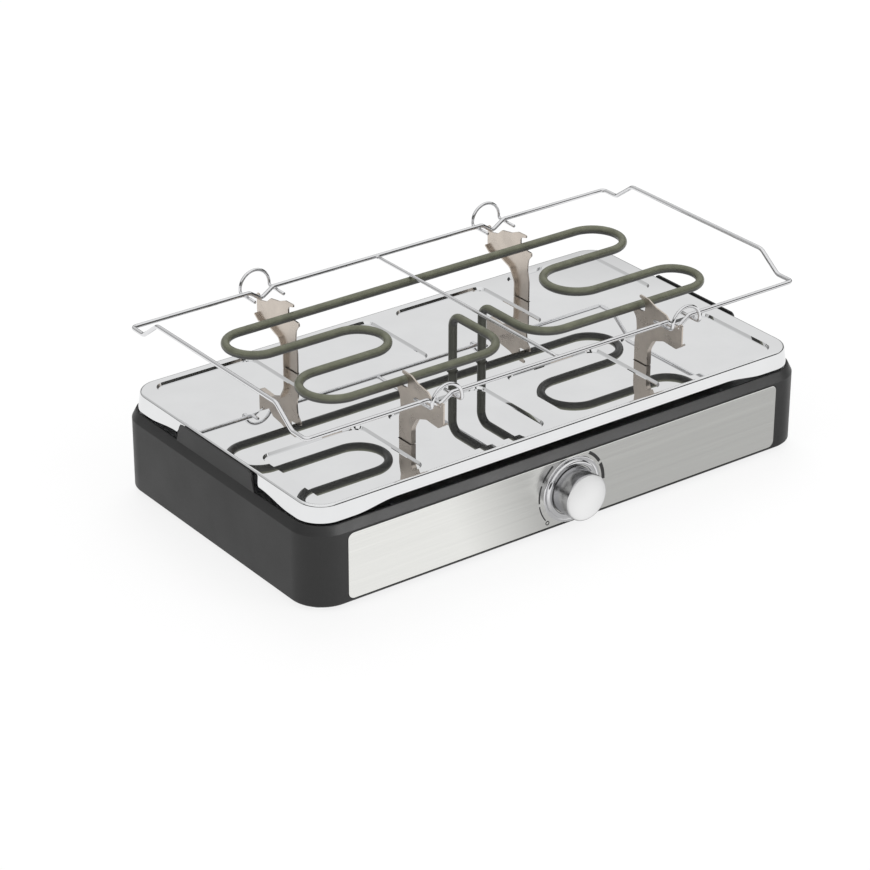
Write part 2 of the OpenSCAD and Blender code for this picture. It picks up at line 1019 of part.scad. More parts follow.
module tray_nuts() {
    color("#a0a0a0")
        placed()
            at_studs()
                translate([0, 0, shield_floor - nut_h])
                    difference() {
                        cylinder(h = nut_h, d = nut_af / cos(30), $fn = 6);
                        translate([0, 0, -over])
                            cylinder(h = nut_h + 2 * over, d = stud_d + 2 * fit_play);
                    }
}

// Heating element

// Half of the element's middle line, from the end of a leg to the middle of the back run
function element_half(side, runs, short) = [
    [side * leg_pitch / 2, 0, leg_low],
    [side * leg_pitch / 2, 0, tube_z],
    [side * leg_pitch / 2, -outer_run, tube_z],
    [side * (run_x - short), -outer_run, tube_z],
    [side * (run_x - short), runs[0], tube_z],
    [side * turn_x, runs[0], tube_z],
    [side * turn_x, runs[1], tube_z],
    [side * run_x, runs[1], tube_z],
    [side * run_x, outer_run, tube_z]
];
function element_bends(runs) =
    let (
        front = (outer_run + runs[0]) / 2,
        middle = (runs[1] - runs[0]) / 2,
        back = (outer_run - runs[1]) / 2
    )
    [0, leg_bend_r, run_bend_r, front, front, middle, middle, back, back];

module element() {
    left = element_half(-1, left_runs, left_short);
    right = element_half(1, right_runs, 0);
    right_bends = element_bends(right_runs);
    last = len(left) - 1;
    color("#696c5a")
        placed()
            bent_rod(
                concat(left, [for (i = [last:-1:0]) right[i]]),
                concat(element_bends(left_runs), [for (i = [last:-1:0]) right_bends[i]]),
                tube_d
            );
}

module element_flange() {
    color("#a5a5a0")
        placed()
            translate([0, 0, shield_floor - flange_t])
                difference() {
                    linear_extrude(flange_t)
                        rounded_rect(flange_w, flange_d, screw_d);
                    translate([0, 0, -over]) {
                        at_legs()
                            cylinder(h = flange_t + 2 * over, d = tube_d + 2 * fit_play);
                        at_flange_screws()
                            cylinder(h = flange_t + 2 * over, d = screw_d + 2 * fit_play);
                    }
                }
}

module flange_screws() {
    color("#9a9a9a")
        placed()
            at_flange_screws()
                translate([0, 0, floor_top]) {
                    cylinder(h = head_h, d = head_d);
                    translate([0, 0, -shield_t - flange_t - over])
                        cylinder(h = shield_t + flange_t + over, d = screw_d);
                }
}

module element_seals() {
    color("#f0ece2")
        placed()
            at_legs()
                translate([0, 0, leg_low - seal_h])
                    cylinder(h = seal_h, d = seal_d);
}

module element_pins() {
    color("#c0c0b8")
        placed()
            at_legs()
                translate([0, 0, leg_low - seal_h - pin_h])
                    cylinder(h = pin_h, d = pin_d);
}

// Brackets

function on_plate(share) = [
    strip_edge + share.x * head_reach,
    deck_z + share.y * bracket_rise
];
function on_hook(share) = [outer_run, tube_z] + share * tube_d;

// A line moved to its right by a distance, point by point
function beside(line, t) =
    let (last = len(line) - 1)
    [for (i = [0:last])
        let (u = heading(line[max(i - 1, 0)], line[min(i + 1, last)]))
        line[i] + t * [u.y, -u.x]];

module bracket() {
    wire_y = rack_d / 2;
    stop_y = wire_y + wire_d / 2 + play;
    nose_y = strip_edge + head_reach;
    outer_edge = strip_edge + strip_w;
    heel = on_plate([strip_w / head_reach, 0.24]);
    lip_low = [outer_edge, deck_z + play];
    points = concat(
        [[strip_edge, floor_top]],
        [for (s = waist_shares) on_plate(s)],
        [for (s = hook_shares) on_hook(s)],
        [for (s = crown_shares) [on_hook(s).x, on_plate(s).y]],
        [
            [wire_y - notch_w, notch_z + notch_slope],
            [stop_y, notch_z],
            [stop_y + play, notch_z + nose_up],
            [nose_y, notch_z + nose_up]
        ],
        [for (s = nose_shares) on_plate(s)],
        [heel, [outer_edge, floor_top]]
    );
    radii = concat(
        [0], waist_r_shares, hook_r_shares, crown_r_shares, notch_r_shares, nose_r_shares, heel_r_shares
    ) * tube_d;
    lip = rounded_outline(
        concat([for (s = nose_shares) on_plate(s)], [heel, lip_low]),
        concat([0], [for (i = [1:len(nose_shares) - 1]) nose_r_shares[i]], heel_r_shares) * tube_d
    );
    lip_inner = beside(lip, plate_t);
    rotate([90, 0, 90])
        translate([0, 0, -plate_t / 2]) {
            linear_extrude(plate_t)
                polygon([for (p = rounded_outline(points, radii)) [-p.x, p.y]]);
            linear_extrude(lip_w)
                polygon([
                    for (p = lip) [-p.x, p.y],
                    for (i = [len(lip) - 1:-1:0]) [-lip_inner[i].x, lip_inner[i].y]
                ]);
        }
    translate([0, -strip_edge - strip_w / 2, 0]) {
        translate([-plate_t / 2, -twist_w / 2, shield_floor - 2 * play])
            cube([plate_t, twist_w, shield_t + 2 * play + weld]);
        translate([0, 0, shield_floor - twist_h])
            rotate([0, 0, twist_turn])
                translate([-plate_t / 2, -twist_w / 2, 0])
                    cube([plate_t, twist_w, twist_h - play]);
    }
}

module bracket_front_left() {
    color("#9b9186")
        placed()
            translate([-bracket_x, 0, 0])
                bracket();
}

module bracket_front_right() {
    color("#9b9186")
        placed()
            translate([bracket_x, 0, 0])
                bracket();
}

module bracket_back_left() {
    color("#9b9186")
        placed()
            translate([-bracket_x, 0, 0])
                rotate([0, 0, 180])
                    bracket();
}

module bracket_back_right() {
    color("#9b9186")
        placed()
            translate([bracket_x, 0, 0])
                rotate([0, 0, 180])
                    bracket();
}

// Rack

// The points of the rack's front wire and right end, which repeat turned half round
module rack_frame() {
    x = rack_w / 2;
    y = rack_d / 2;
    dip = dip_w / 2;
    half = [
        [-bracket_x - dip, -y, rack_z],
        [-bracket_x, -y, rack_z - dip_h],
        [-bracket_x + dip, -y, rack_z],
        [bracket_x - dip, -y, rack_z],
        [bracket_x, -y, rack_z - dip_h],
        [bracket_x + dip, -y, rack_z],
        [x, -y, rack_z],
        [x, -y + end_flat, rack_z],
        [x, -y + end_flat + end_slope, rack_z + end_rise],
        [x, y - end_flat - end_slope, rack_z + end_rise],
        [x, y - end_flat, rack_z],
        [x, y, rack_z]
    ];
    bends = [
        dip_bend, dip_bend, dip_bend, dip_bend, dip_bend, dip_bend,
        corner_bend, end_bend, end_bend, end_bend, end_bend, corner_bend
    ];
    color("#d4d4d6")
        placed()
            wire_ring(concat(half, [for (p = half) [-p.x, -p.y, p.z]]), concat(bends, bends), wire_d);
}

module rack_cross_wire() {
    reach = rack_d / 2 - wire_d / 2 + touch;
    color("#d4d4d6")
        placed()
            bar([-cross_x, -reach, rack_z], [-cross_x, reach, rack_z], thin_wire_d);
}

module loop() {
    low = rack_z - wire_d / 2 - thin_wire_d / 2 + touch;
    high = low + foot_bend + loop_r;
    inner = -rack_d / 2 + loop_in;
    outer = -rack_d / 2 - loop_out;
    bent_rod(
        [
            [-loop_r, inner, low],
            [-loop_r, outer, low],
            [-loop_r, outer, high],
            [loop_r, outer, high],
            [loop_r, outer, low],
            [loop_r, inner, low]
        ],
        [0, foot_bend, loop_r, loop_r, foot_bend, 0],
        thin_wire_d
    );
}

module loop_front_left() {
    color("#dadadc")
        placed()
            translate([-bracket_x, 0, 0])
                loop();
}

module loop_front_right() {
    color("#dadadc")
        placed()
            translate([bracket_x, 0, 0])
                loop();
}

module loop_back_left() {
    color("#dadadc")
        placed()
            translate([-bracket_x, 0, 0])
                rotate([0, 0, 180])
                    loop();
}

module loop_back_right() {
    color("#dadadc")
        placed()
            translate([bracket_x, 0, 0])
                rotate([0, 0, 180])
                    loop();
}

// Cord gland and inner wiring

module cord_gland() {
    inner = shell_t + gland_nut_h + gland_tail;
    color("#303030")
        placed()
            facing_back()
                difference() {
                    union() {
                        translate([0, 0, -inner])
                            cylinder(h = inner + weld, d = gland_neck_d);
                        cylinder(h = gland_reach, d = gland_collar_d);
                    }
                    translate([0, 0, -inner - over])
                        cylinder(h = inner + gland_reach + 2 * over, d = gland_bore);
                }
}

module gland_nut() {
    color("#3a3a3a")
        placed()
            facing_back()
                translate([0, 0, -shell_t - gland_nut_h])
                    difference() {
                        cylinder(h = gland_nut_h, d = gland_nut_d / cos(30), $fn = 6);
                        translate([0, 0, -over])
                            cylinder(h = gland_nut_h + 2 * over, d = gland_neck_d + 2 * fit_play);
                    }
}

module at_barrels() {
    for (i = [-1:1])
        translate([block_x + i * barrel_pitch, block_front, barrel_z])
            rotate([-90, 0, 0])
                children();
}

module terminal_block() {
    color("#e8e8e0")
        placed()
            difference() {
                translate([block_x - block_w / 2, block_front, block_z])
                    cube([block_w, block_d, block_h]);
                at_barrels()
                    translate([0, 0, -over])
                        cylinder(h = block_d + 2 * over, d = barrel_d + 2 * fit_play);
            }
}

module terminal_barrels() {
    color("#c8a850")
        placed()
            at_barrels()
                cylinder(h = block_d, d = barrel_d);
}

module thermal_fuse() {
    color("#d8d4c8")
        placed()
            bar([-fuse_x, -fuse_len / 2, fuse_z], [-fuse_x, fuse_len / 2, fuse_z], fuse_d);
}

module fuse_clip() {
    r = fuse_d / 2 + fit_play;
    color("#b5b5b0")
        placed()
            translate([-fuse_x, 0, fuse_z])
                rotate([90, 0, 0])
                    linear_extrude(clip_len, center = true) {
                        difference() {
                            union() {
                                circle(r + clip_t);
                                translate([-r - clip_t, 0])
                                    square([2 * r + 2 * clip_t, fuse_drop]);
                                translate([-r - clip_wing, fuse_drop - clip_t])
                                    square([2 * r + 2 * clip_wing, clip_t]);
                            }
                            circle(r);
                            translate([-r, 0])
                                square([2 * r, fuse_drop + over]);
                        }
                    }
}

module live_lead() {
    x = block_x + barrel_pitch;
    color("#7a4a2a")
        placed()
            even_rod(
                [
                    [x, block_front, barrel_z],
                    [x, live_y, barrel_z],
                    [blade_pitch / 2, live_y, barrel_z],
                    [blade_pitch / 2, live_y, blade_z],
                    [blade_pitch / 2, blade_y, blade_z]
                ],
                lead_r,
                lead_d
            );
}

module switched_lead() {
    color("#8a8a8a")
        placed()
            even_rod(
                [
                    [-blade_pitch / 2, blade_y, blade_z],
                    [-blade_pitch / 2, live_y, blade_z],
                    [-fuse_x, live_y, blade_z],
                    [-fuse_x, live_y, fuse_z],
                    [-fuse_x, -fuse_len / 2, fuse_z]
                ],
                lead_r,
                lead_d
            );
}

module fuse_lead() {
    color("#8a8a8a")
        placed()
            even_rod(
                [
                    [-fuse_x, fuse_len / 2, fuse_z],
                    [-fuse_x, fuse_lead_y, fuse_z],
                    [-fuse_x, fuse_lead_y, fuse_lead_z],
                    [-leg_pitch / 2, fuse_lead_y, fuse_lead_z],
                    [-leg_pitch / 2, 0, fuse_lead_z],
                    [-leg_pitch / 2, 0, pin_low]
                ],
                lead_r,
                lead_d
            );
}

module neutral_lead() {
    color("#3a5a9a")
        placed()
            even_rod(
                [
                    [block_x, block_front, barrel_z],
                    [block_x, neutral_y, barrel_z],
                    [leg_pitch / 2, neutral_y, barrel_z],
                    [leg_pitch / 2, 0, barrel_z],
                    [leg_pitch / 2, 0, pin_low]
                ],
                lead_r,
                lead_d
            );
}

module earth_lead() {
    color("#6a9a3a")
        placed()
            even_rod(
                [
                    [earth_x, block_front, barrel_z],
                    [earth_x, earth_y, barrel_z],
                    [earth_x, earth_y, shield_floor - nut_h - over]
                ],
                lead_r,
                lead_d
            );
}

module earth_screw() {
    color("#c8b060")
        placed()
            translate([earth_x, earth_y, 0]) {
                translate([0, 0, floor_top])
                    cylinder(h = head_h, d = head_d);
                translate([0, 0, shield_floor - nut_h - over])
                    cylinder(h = shield_t + nut_h + over, d = screw_d);
                translate([0, 0, shield_floor - nut_h])
                    cylinder(h = nut_h, d = nut_af / cos(30), $fn = 6);
            }
}

housing();
bottom_cover();
cover_screws();
feet();
front_panel();
dial_marks();
knob_bezel();
knob_cap();
knob_hub();
thermostat_shaft();
thermostat_body();
thermostat_plate();
thermostat_screws();
thermostat_blades();
heat_shield();
shield_screws();
tray();
tray_studs();
tray_spacers();
tray_nuts();
element();
element_flange();
flange_screws();
element_seals();
element_pins();
bracket_front_left();
bracket_front_right();
bracket_back_left();
bracket_back_right();
rack_frame();
rack_cross_wire();
loop_front_left();
loop_front_right();
loop_back_left();
loop_back_right();
cord_gland();
gland_nut();
terminal_block();
terminal_barrels();
thermal_fuse();
fuse_clip();
live_lead();
switched_lead();
fuse_lead();
neutral_lead();
earth_lead();
earth_screw();
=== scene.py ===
"""Looks of an electric raclette base: moulded housing, steel front with one dial, mirror tray,
bent heating tube on four hooked brackets, and a loose wire rack. Run as a script inside Blender."""

import json
import math

import bmesh
import bpy
from mathutils import Matrix, Vector
from mathutils.geometry import tessellate_polygon


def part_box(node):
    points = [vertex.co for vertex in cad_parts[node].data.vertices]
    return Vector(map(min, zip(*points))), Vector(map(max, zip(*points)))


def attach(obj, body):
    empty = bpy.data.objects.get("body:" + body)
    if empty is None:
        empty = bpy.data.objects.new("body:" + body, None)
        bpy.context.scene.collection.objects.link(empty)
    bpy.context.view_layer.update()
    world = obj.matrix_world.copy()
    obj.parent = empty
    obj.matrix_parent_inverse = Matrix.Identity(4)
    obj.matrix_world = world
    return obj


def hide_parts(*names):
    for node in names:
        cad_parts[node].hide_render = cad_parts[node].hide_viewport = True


bl_info = {
    "name": "Raclette base",
    "version": (1, 0, 0),
    "blender": (4, 5, 0),
    "location": "3D View > Sidebar > Raclette",
    "description": "Builds the detailed pieces, finishes and stage of an electric raclette base",
    "category": "Add Mesh",
}

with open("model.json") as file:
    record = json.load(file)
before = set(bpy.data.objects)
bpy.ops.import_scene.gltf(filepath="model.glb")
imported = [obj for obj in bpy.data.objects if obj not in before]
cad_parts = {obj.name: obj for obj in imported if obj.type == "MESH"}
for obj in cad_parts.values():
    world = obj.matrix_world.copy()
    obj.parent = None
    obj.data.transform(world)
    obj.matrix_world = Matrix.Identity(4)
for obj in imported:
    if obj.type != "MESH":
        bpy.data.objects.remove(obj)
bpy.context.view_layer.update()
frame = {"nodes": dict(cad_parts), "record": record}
MM = 0.001
SAME_PLACE = 0.001 * MM
X, Y, Z = Vector((1, 0, 0)), Vector((0, 1, 0)), Vector((0, 0, 1))
SQUARE = ((-1, -1), (1, -1), (1, 1), (-1, 1))

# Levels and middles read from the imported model
HOUSING_LOW, HOUSING_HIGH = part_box("housing")
TRAY_LOW, TRAY_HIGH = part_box("tray")
PANEL_LOW, PANEL_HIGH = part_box("front_panel")
CAP_LOW, CAP_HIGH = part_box("knob_cap")
MID_Y = (HOUSING_LOW.y + HOUSING_HIGH.y) / 2
HALF_X = (HOUSING_HIGH.x - HOUSING_LOW.x) / 2
HALF_Y = (HOUSING_HIGH.y - HOUSING_LOW.y) / 2
BASE_Z = HOUSING_LOW.z
DECK_Z = TRAY_HIGH.z
FRONT_Y = HOUSING_LOW.y
KNOB_Z = (CAP_LOW.z + CAP_HIGH.z) / 2
PANEL_Z = (PANEL_LOW.z + PANEL_HIGH.z) / 2
PANEL_HALF_Z = (PANEL_HIGH.z - PANEL_LOW.z) / 2
SHIELD_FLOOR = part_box("heat_shield")[0].z
FLOOR_TOP = SHIELD_FLOOR + 0.8 * MM

# Housing, in metres: the same sizes as the solid's
CORNER_R = 26 * MM
SHELL_T = 2.5 * MM
BAND_Z = BASE_Z + 55.4 * MM
RIM_Z = BAND_Z + 6.5 * MM
LEDGE_Z = RIM_Z - 4 * MM
BAND_IN = 3.2 * MM
RIM_T = 1.6 * MM
LEDGE_IN = 14 * MM
SHAFT_HOLE = 5 * MM
INLET_X, INLET_Z, INLET_R = 0.15, BASE_Z + 16 * MM, 5.55 * MM

# Screw posts of the housing
POST_TOP = LEDGE_Z - 2.4 * MM
POST_HOLE = 1.55 * MM
CORNER_POST = 4.5 * MM
SIDE_POST = 4 * MM
SIDE_POST_IN = 9.8 * MM

# Pan places of the tray
PLACE_STEP = 107.5 * MM
PLACE_OUT = 69.5 * MM
PLACE_DEEP = 1.8 * MM

# Heating tube
TUBE_Z = DECK_Z + 45.6 * MM
TUBE_D = 6.5 * MM
OUTER_RUN = 66.8 * MM
LEG_HALF = 13.4 * MM
LEG_HOLE = 4.3 * MM

# Brackets and rack
BRACKET_X = 107.5 * MM
BRACKETS = (("front_left", -1, 1), ("front_right", 1, 1),
            ("back_left", -1, -1), ("back_right", 1, -1))
STRIP_EDGE = 63.5 * MM
STRIP_W = 14.5 * MM
HEAD_REACH = 52 * MM
RACK_Z = TUBE_Z + 4.9 * MM
RACK_X = 218.5 * MM
RACK_Y = 110.2 * MM
WIRE_D = 3.3 * MM
THIN_D = 2.6 * MM
DIP_H = 6.8 * MM
CROSS_X = -3 * MM

# Stage: the camera's place, and its azimuth, elevation and roll in degrees
CAMERA_AT = (-1.2310, -1.6107, 1.0563)
CAMERA_TURN = (-36.61, 26.95, 0.13)
MATT_LIGHT = 0.66
FLOOR_GLOW = 0.82
CARD_SLANT = 0.78


# Property groups

def length(name, text, value, low, high, digits=4):
    """A length setting with its default and limits, in metres."""
    return bpy.props.FloatProperty(
        name=name, description=text, default=value, min=low, max=high,
        precision=digits, subtype="DISTANCE", unit="LENGTH")


class RacletteSizes(bpy.types.PropertyGroup):
    """Sizes of the details that the scene adds, and of the camera's lens and the lamps"""

    deck_roll: length("Deck edge radius", "Radius between the tray's deck and its skirt",
                      1.9 * MM, 0.5 * MM, 3 * MM)
    place_soft: length("Pan place edge", "Half width of the soft step round each pan place",
                       0.7 * MM, 0.4 * MM, 2 * MM)
    sheet: length("Tray sheet", "Thickness of the tray's sheet", 0.8 * MM, 0.5 * MM, 1.2 * MM)
    moulded_edge: length("Moulded edge radius", "Radius of the housing's outer edges",
                         0.9 * MM, 0.3 * MM, 1.4 * MM)
    stamped_edge: length("Stamped edge", "Width of the softened edge on stamped sheet",
                         0.22 * MM, 0.05 * MM, 0.4 * MM, 5)
    weld_size: length("Weld bead", "Radius of the weld beads on the rack",
                      1.5 * MM, 1 * MM, 2 * MM)
    lens: bpy.props.FloatProperty(
        name="Lens", description="Focal length of the camera on a 36 mm sensor",
        default=126.49, min=50, max=200, subtype="DISTANCE_CAMERA")
    lamp_size: length("Lamp size", "Side of each of the three soft lamps", 1.6, 0.5, 3, 2)


def colour(name, text, value):
    """A colour setting with its default."""
    return bpy.props.FloatVectorProperty(
        name=name, description=text, default=value, size=3, min=0, max=1, subtype="COLOR")


class RacletteColours(bpy.types.PropertyGroup):
    """Colours of the finishes, in linear light"""

    plastic: colour("Housing plastic", "Dark moulded plastic of the housing", (0.025, 0.025, 0.025))
    steel: colour("Front steel", "Brushed steel of the front panel", (0.80, 0.80, 0.775))
    mirror: colour("Tray steel", "Polished steel of the tray", (0.78, 0.785, 0.79))
    tube: colour("Heating tube", "Olive grey skin of the heating tube", (0.135, 0.14, 0.097))
    nickel: colour("Bracket nickel", "Warm nickel of the brackets", (0.60, 0.54, 0.48))
    chrome: colour("Rack chrome", "Chrome of the rack, its loops and the knob's ring",
                   (0.74, 0.74, 0.75))
    knob: colour("Knob metal", "Satin metal of the knob's cap", (0.84, 0.84, 0.84))
    ink: colour("Dial print", "Dark print of the dial", (0.028, 0.028, 0.028))
    floor: colour("Floor", "Pale floor of the stage", (0.96, 0.96, 0.96))


def sizes():
    return bpy.context.scene.raclette_sizes


def colours():
    return bpy.context.scene.raclette_colours


# Paths and outlines

def spread(low, high, gap, marks=()):
    """Places from low to high, at most gap apart, with the marks among them."""
    count = max(1, math.ceil((high - low) / gap))
    places = [low + (high - low) * i / count for i in range(count + 1)]
    places += [m for m in marks if low < m < high]
    places.sort()
    too_near = 0.05 * MM
    kept = [places[0]]
    for p in places[1:]:
        if p - kept[-1] > too_near:
            kept.append(p)
    return kept


def ring(half_x, half_y, r, turns=16, gap=1.0, marks=()):
    """Points and outward directions round a rounded rectangle, counter-clockwise.

    The marks are extra places on the two sides that run along Y, both ways from their middle.
    """
    found = []
    mirrored = [m for mark in marks for m in (-mark, mark)]
    for quarter in range(4):
        a = math.radians(90 * quarter - 90)
        out = Vector((math.cos(a), math.sin(a)))
        along = Vector((-out.y, out.x))
        reach, side = (half_y, half_x) if quarter % 2 == 0 else (half_x, half_y)
        for t in spread(r - side, side - r, gap, mirrored if quarter % 2 else ()):
            found.append((out * reach + along * t, out))
        middle = out * (reach - r) + along * (side - r)
        for k in range(1, turns):
            b = a + math.radians(90 * k / turns)
            turned_out = Vector((math.cos(b), math.sin(b)))
            found.append((middle + turned_out * r, turned_out))
    return found


def circle(middle, side, up, r, steps):
    """Points round a circle, from side towards up."""
    turns = (2 * math.pi * k / steps for k in range(steps))
    return [middle + (side * math.cos(t) + up * math.sin(t)) * r for t in turns]


def upright(outline, inset, y):
    """An outline's points on the front, moved in from its edge, round the panel's middle."""
    return [Vector((p.x - out.x * inset, y, PANEL_Z + p.y - out.y * inset)) for p, out in outline]


def fillet(before, corner, after, r, steps):
    """Points of the arc that rounds a corner between two straight lines."""
    u = (before - corner).normalized()
    v = (after - corner).normalized()
    half = u.angle(v) / 2
    middle = corner + (u + v).normalized() * (r / math.sin(half))
    start = corner + u * (r / math.tan(half)) - middle
    end = corner + v * (r / math.tan(half)) - middle
    swing = start.angle(end)
    return [
        middle + (start * math.sin(swing * (1 - k / steps)) + end * math.sin(swing * k / steps))
        / math.sin(swing)
        for k in range(steps + 1)
    ]


def rounded(points, radii, steps, closed=True):
    """A line through the points with its corners rounded, each by its own radius."""
    found = []
    n = len(points)
    for i, (p, r) in enumerate(zip(points, radii)):
        if r == 0 or (not closed and i in (0, n - 1)):
            found.append(p.copy())
        else:
            found += fillet(points[i - 1], p, points[(i + 1) % n], r, steps)
    return found


def bent(points, radii, steps=10, closed=False):
    """Middle line of a bent rod, with each straight cut into a few stretches."""
    too_short, longest = 0.01 * MM, 12 * MM
    corners = rounded(points, radii, steps, closed)
    n = len(corners)
    path = []
    for i in range(n if closed else n - 1):
        a, b = corners[i], corners[(i + 1) % n]
        if (b - a).length < too_short:
            continue
        count = max(1, math.ceil((b - a).length / longest))
        path += [a.lerp(b, k / count) for k in range(count)]
    if not closed:
        path.append(corners[-1])
    return path


def ease(value, low, high):
    """A soft step from 0 at low to 1 at high; low may be the larger."""
    t = min(1, max(0, (value - low) / (high - low)))
    return t * t * (3 - 2 * t)


# Meshes

def add_loop(bm, points):
    return [bm.verts.new(p) for p in points]


def level_loop(bm, outline, inset, z, middle=Vector((0, MID_Y))):
    """A level loop of an outline, moved in from its edge."""
    return add_loop(bm, [
        Vector((middle.x + p.x - out.x * inset, middle.y + p.y - out.y * inset, z))
        for p, out in outline])


def join_loops(bm, a, b):
    """Faces between two loops of the same length."""
    n = len(a)
    for i in range(n):
        j = (i + 1) % n
        bm.faces.new((a[i], a[j], b[j], b[i]))


def join_rows(bm, loops, closed=False):
    """Faces between each loop and the next, and between the last and the first if closed."""
    for a, b in zip(loops, loops[1:] + loops[:1] if closed else loops[1:]):
        join_loops(bm, a, b)


def join_tip(bm, tip, rim):
    """A fan of faces between a point and a loop."""
    for i in range(len(rim)):
        bm.faces.new((tip, rim[i], rim[(i + 1) % len(rim)]))


def fill_flat(bm, loops):
    """Faces of a flat region: its outer loop, then the loops of its holes."""
    flat = [v for loop in loops for v in loop]
    for tri in tessellate_polygon([[v.co for v in loop] for loop in loops]):
        if len(set(tri)) == 3:
            bm.faces.new([flat[i] for i in tri])


def prism(bm, points, a, b):
    """A closed prism: the points, each moved by a, and again by b."""
    low = add_loop(bm, [p + a for p in points])
    high = add_loop(bm, [p + b for p in points])
    join_loops(bm, low, high)
    bm.faces.new(low)
    bm.faces.new(high)


def sweep(bm, path, r, sides, closed=False):
    """A round wire along a path. Open ends get a shallow dome."""
    n = len(path)
    heads = []
    for i in range(n):
        a = path[(i - 1) % n] if closed or i else path[0]
        b = path[(i + 1) % n] if closed or i < n - 1 else path[-1]
        heads.append((b - a).normalized())
    side = heads[0].cross(Z)
    if side.length < 0.1:
        side = heads[0].cross(Y)
    places = []
    for at, head in zip(path, heads):
        side = (side - head * side.dot(head)).normalized()
        places.append((at, head, side, side.cross(head)))
    rings = [add_loop(bm, circle(at, s, up, r, sides)) for at, head, s, up in places]
    join_rows(bm, rings)
    if closed:
        first_side, first_up = places[0][2:]
        last = places[-1][2]
        twist = math.atan2(last.dot(first_up), last.dot(first_side))
        shift = round(twist / (2 * math.pi) * sides) % sides
        join_loops(bm, rings[-1], rings[0][shift:] + rings[0][:shift])
        return
    dome = 0.35 * r
    for end, sign in ((0, -1), (-1, 1)):
        at, head, side, up = places[end]
        previous = rings[end]
        for share in (0.8, 0.45):
            out = math.sqrt(1 - share * share) * dome
            inner = add_loop(bm, circle(at + head * out * sign, side, up, r * share, sides))
            join_loops(bm, previous, inner)
            previous = inner
        bm.faces.new(previous)


def turned(bm, profile, middle, steps=96):
    """A round piece about a line along Y: profile gives the radius and the way out to the front."""
    loops = []
    for r, out in profile:
        if r < SAME_PLACE:
            loops.append([bm.verts.new(middle - Y * out)])
        else:
            loops.append(add_loop(bm, circle(middle - Y * out, X, Z, r, steps)))
    for a, b in zip(loops, loops[1:]):
        if len(a) == len(b) == 1:
            continue
        if len(a) == 1:
            join_tip(bm, a[0], b)
        elif len(b) == 1:
            join_tip(bm, b[0], a)
        else:
            join_loops(bm, a, b)
    return loops


def bead(bm, middle, size, axis):
    """A small uneven weld bead, longer along its level axis."""
    side = axis.cross(Z)
    up = side.cross(axis)
    rings, steps, longer, uneven = 7, 12, 1.25, 0.15
    loops = []
    for i in range(1, rings):
        a = math.pi * i / rings
        loop = []
        for k in range(steps):
            t = 2 * math.pi * k / steps
            wave = 1 + uneven * math.sin(3 * t + 2.1 * i)
            loop.append(
                middle + axis * (size * longer * math.cos(a))
                + (side * math.cos(t) + up * math.sin(t)) * (size * math.sin(a) * wave))
        loops.append(add_loop(bm, loop))
    join_rows(bm, loops)
    for loop, sign in ((loops[0], 1), (loops[-1], -1)):
        join_tip(bm, bm.verts.new(middle + axis * (size * longer * sign)), loop)


def post(bm, x, y, low, r):
    """A hollow screw post of the housing."""
    corners = ((r, low), (r, POST_TOP), (POST_HOLE, POST_TOP), (POST_HOLE, low))
    loops = [add_loop(bm, circle(Vector((x, y, z)), X, Y, radius, 24)) for radius, z in corners]
    join_rows(bm, loops, closed=True)


def soften(bm, angle, width, segments):
    """Rounds the edges at which faces meet at more than an angle, in degrees."""
    rims = [e for e in bm.edges if e.calc_face_angle(0) > math.radians(angle)]
    bmesh.ops.bevel(bm, geom=rims, offset=width, segments=segments, profile=0.5, affect="EDGES")


# Pieces

def add_object(name, data):
    obj = bpy.data.objects.new(name, data)
    bpy.context.scene.collection.objects.link(obj)
    return obj


def mesh_object(name, bm):
    """An object made from bm, which is freed."""
    mesh = bpy.data.meshes.new(name)
    bm.to_mesh(mesh)
    bm.free()
    return add_object(name, mesh)


def make(name, bm, slot, body, *nodes, sharp=35):
    """Turns a mesh into a piece with the slot's finish, under its body, hiding the nodes it stands
    for.
    """
    bmesh.ops.remove_doubles(bm, verts=bm.verts, dist=SAME_PLACE)
    bmesh.ops.recalc_face_normals(bm, faces=bm.faces)
    obj = mesh_object(name, bm)
    dress(obj, slot, body, nodes, sharp)
    return obj


def make_wire(name, line, d, sides, *what, steps=10, closed=False, sharp=80):
    """A piece that is one bent wire: line gives its corners and bend radii."""
    bm = bmesh.new()
    sweep(bm, bent(*line, steps, closed), d / 2, sides, closed)
    make(name, bm, *what, sharp=sharp)


def dress(obj, slot, body, nodes, sharp):
    """Gives a piece its finish and sharp edges, puts it under its body and hides its nodes."""
    obj.data.materials.append(finish(slot))
    obj.data.shade_smooth()
    obj.data.set_sharp_from_angle(angle=math.radians(sharp))
    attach(obj, body)
    if nodes:
        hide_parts(*nodes)


def settle(obj):
    """Replaces a piece's mesh by the one that its modifiers give."""
    bpy.context.view_layer.update()
    shown = obj.evaluated_get(bpy.context.evaluated_depsgraph_get())
    mesh = bpy.data.meshes.new_from_object(shown)
    obj.modifiers.clear()
    obj.data = mesh


def cut_out(obj, bm):
    """Cuts the closed shapes in bm out of a piece."""
    bmesh.ops.recalc_face_normals(bm, faces=bm.faces)
    cutter = mesh_object("cutter", bm)
    mesh = cutter.data
    cut = obj.modifiers.new("cut", "BOOLEAN")
    cut.operation, cut.solver, cut.object = "DIFFERENCE", "EXACT", cutter
    settle(obj)
    bpy.data.objects.remove(cutter)
    bpy.data.meshes.remove(mesh)


# Shader nodes

def give(tree, node, inputs):
    """Gives a node its inputs by name or number: fixed values, or other nodes' outputs."""
    for name, value in inputs.items():
        if isinstance(value, (int, float, tuple)):
            node.inputs[name].default_value = value
        else:
            tree.links.new(value, node.inputs[name])


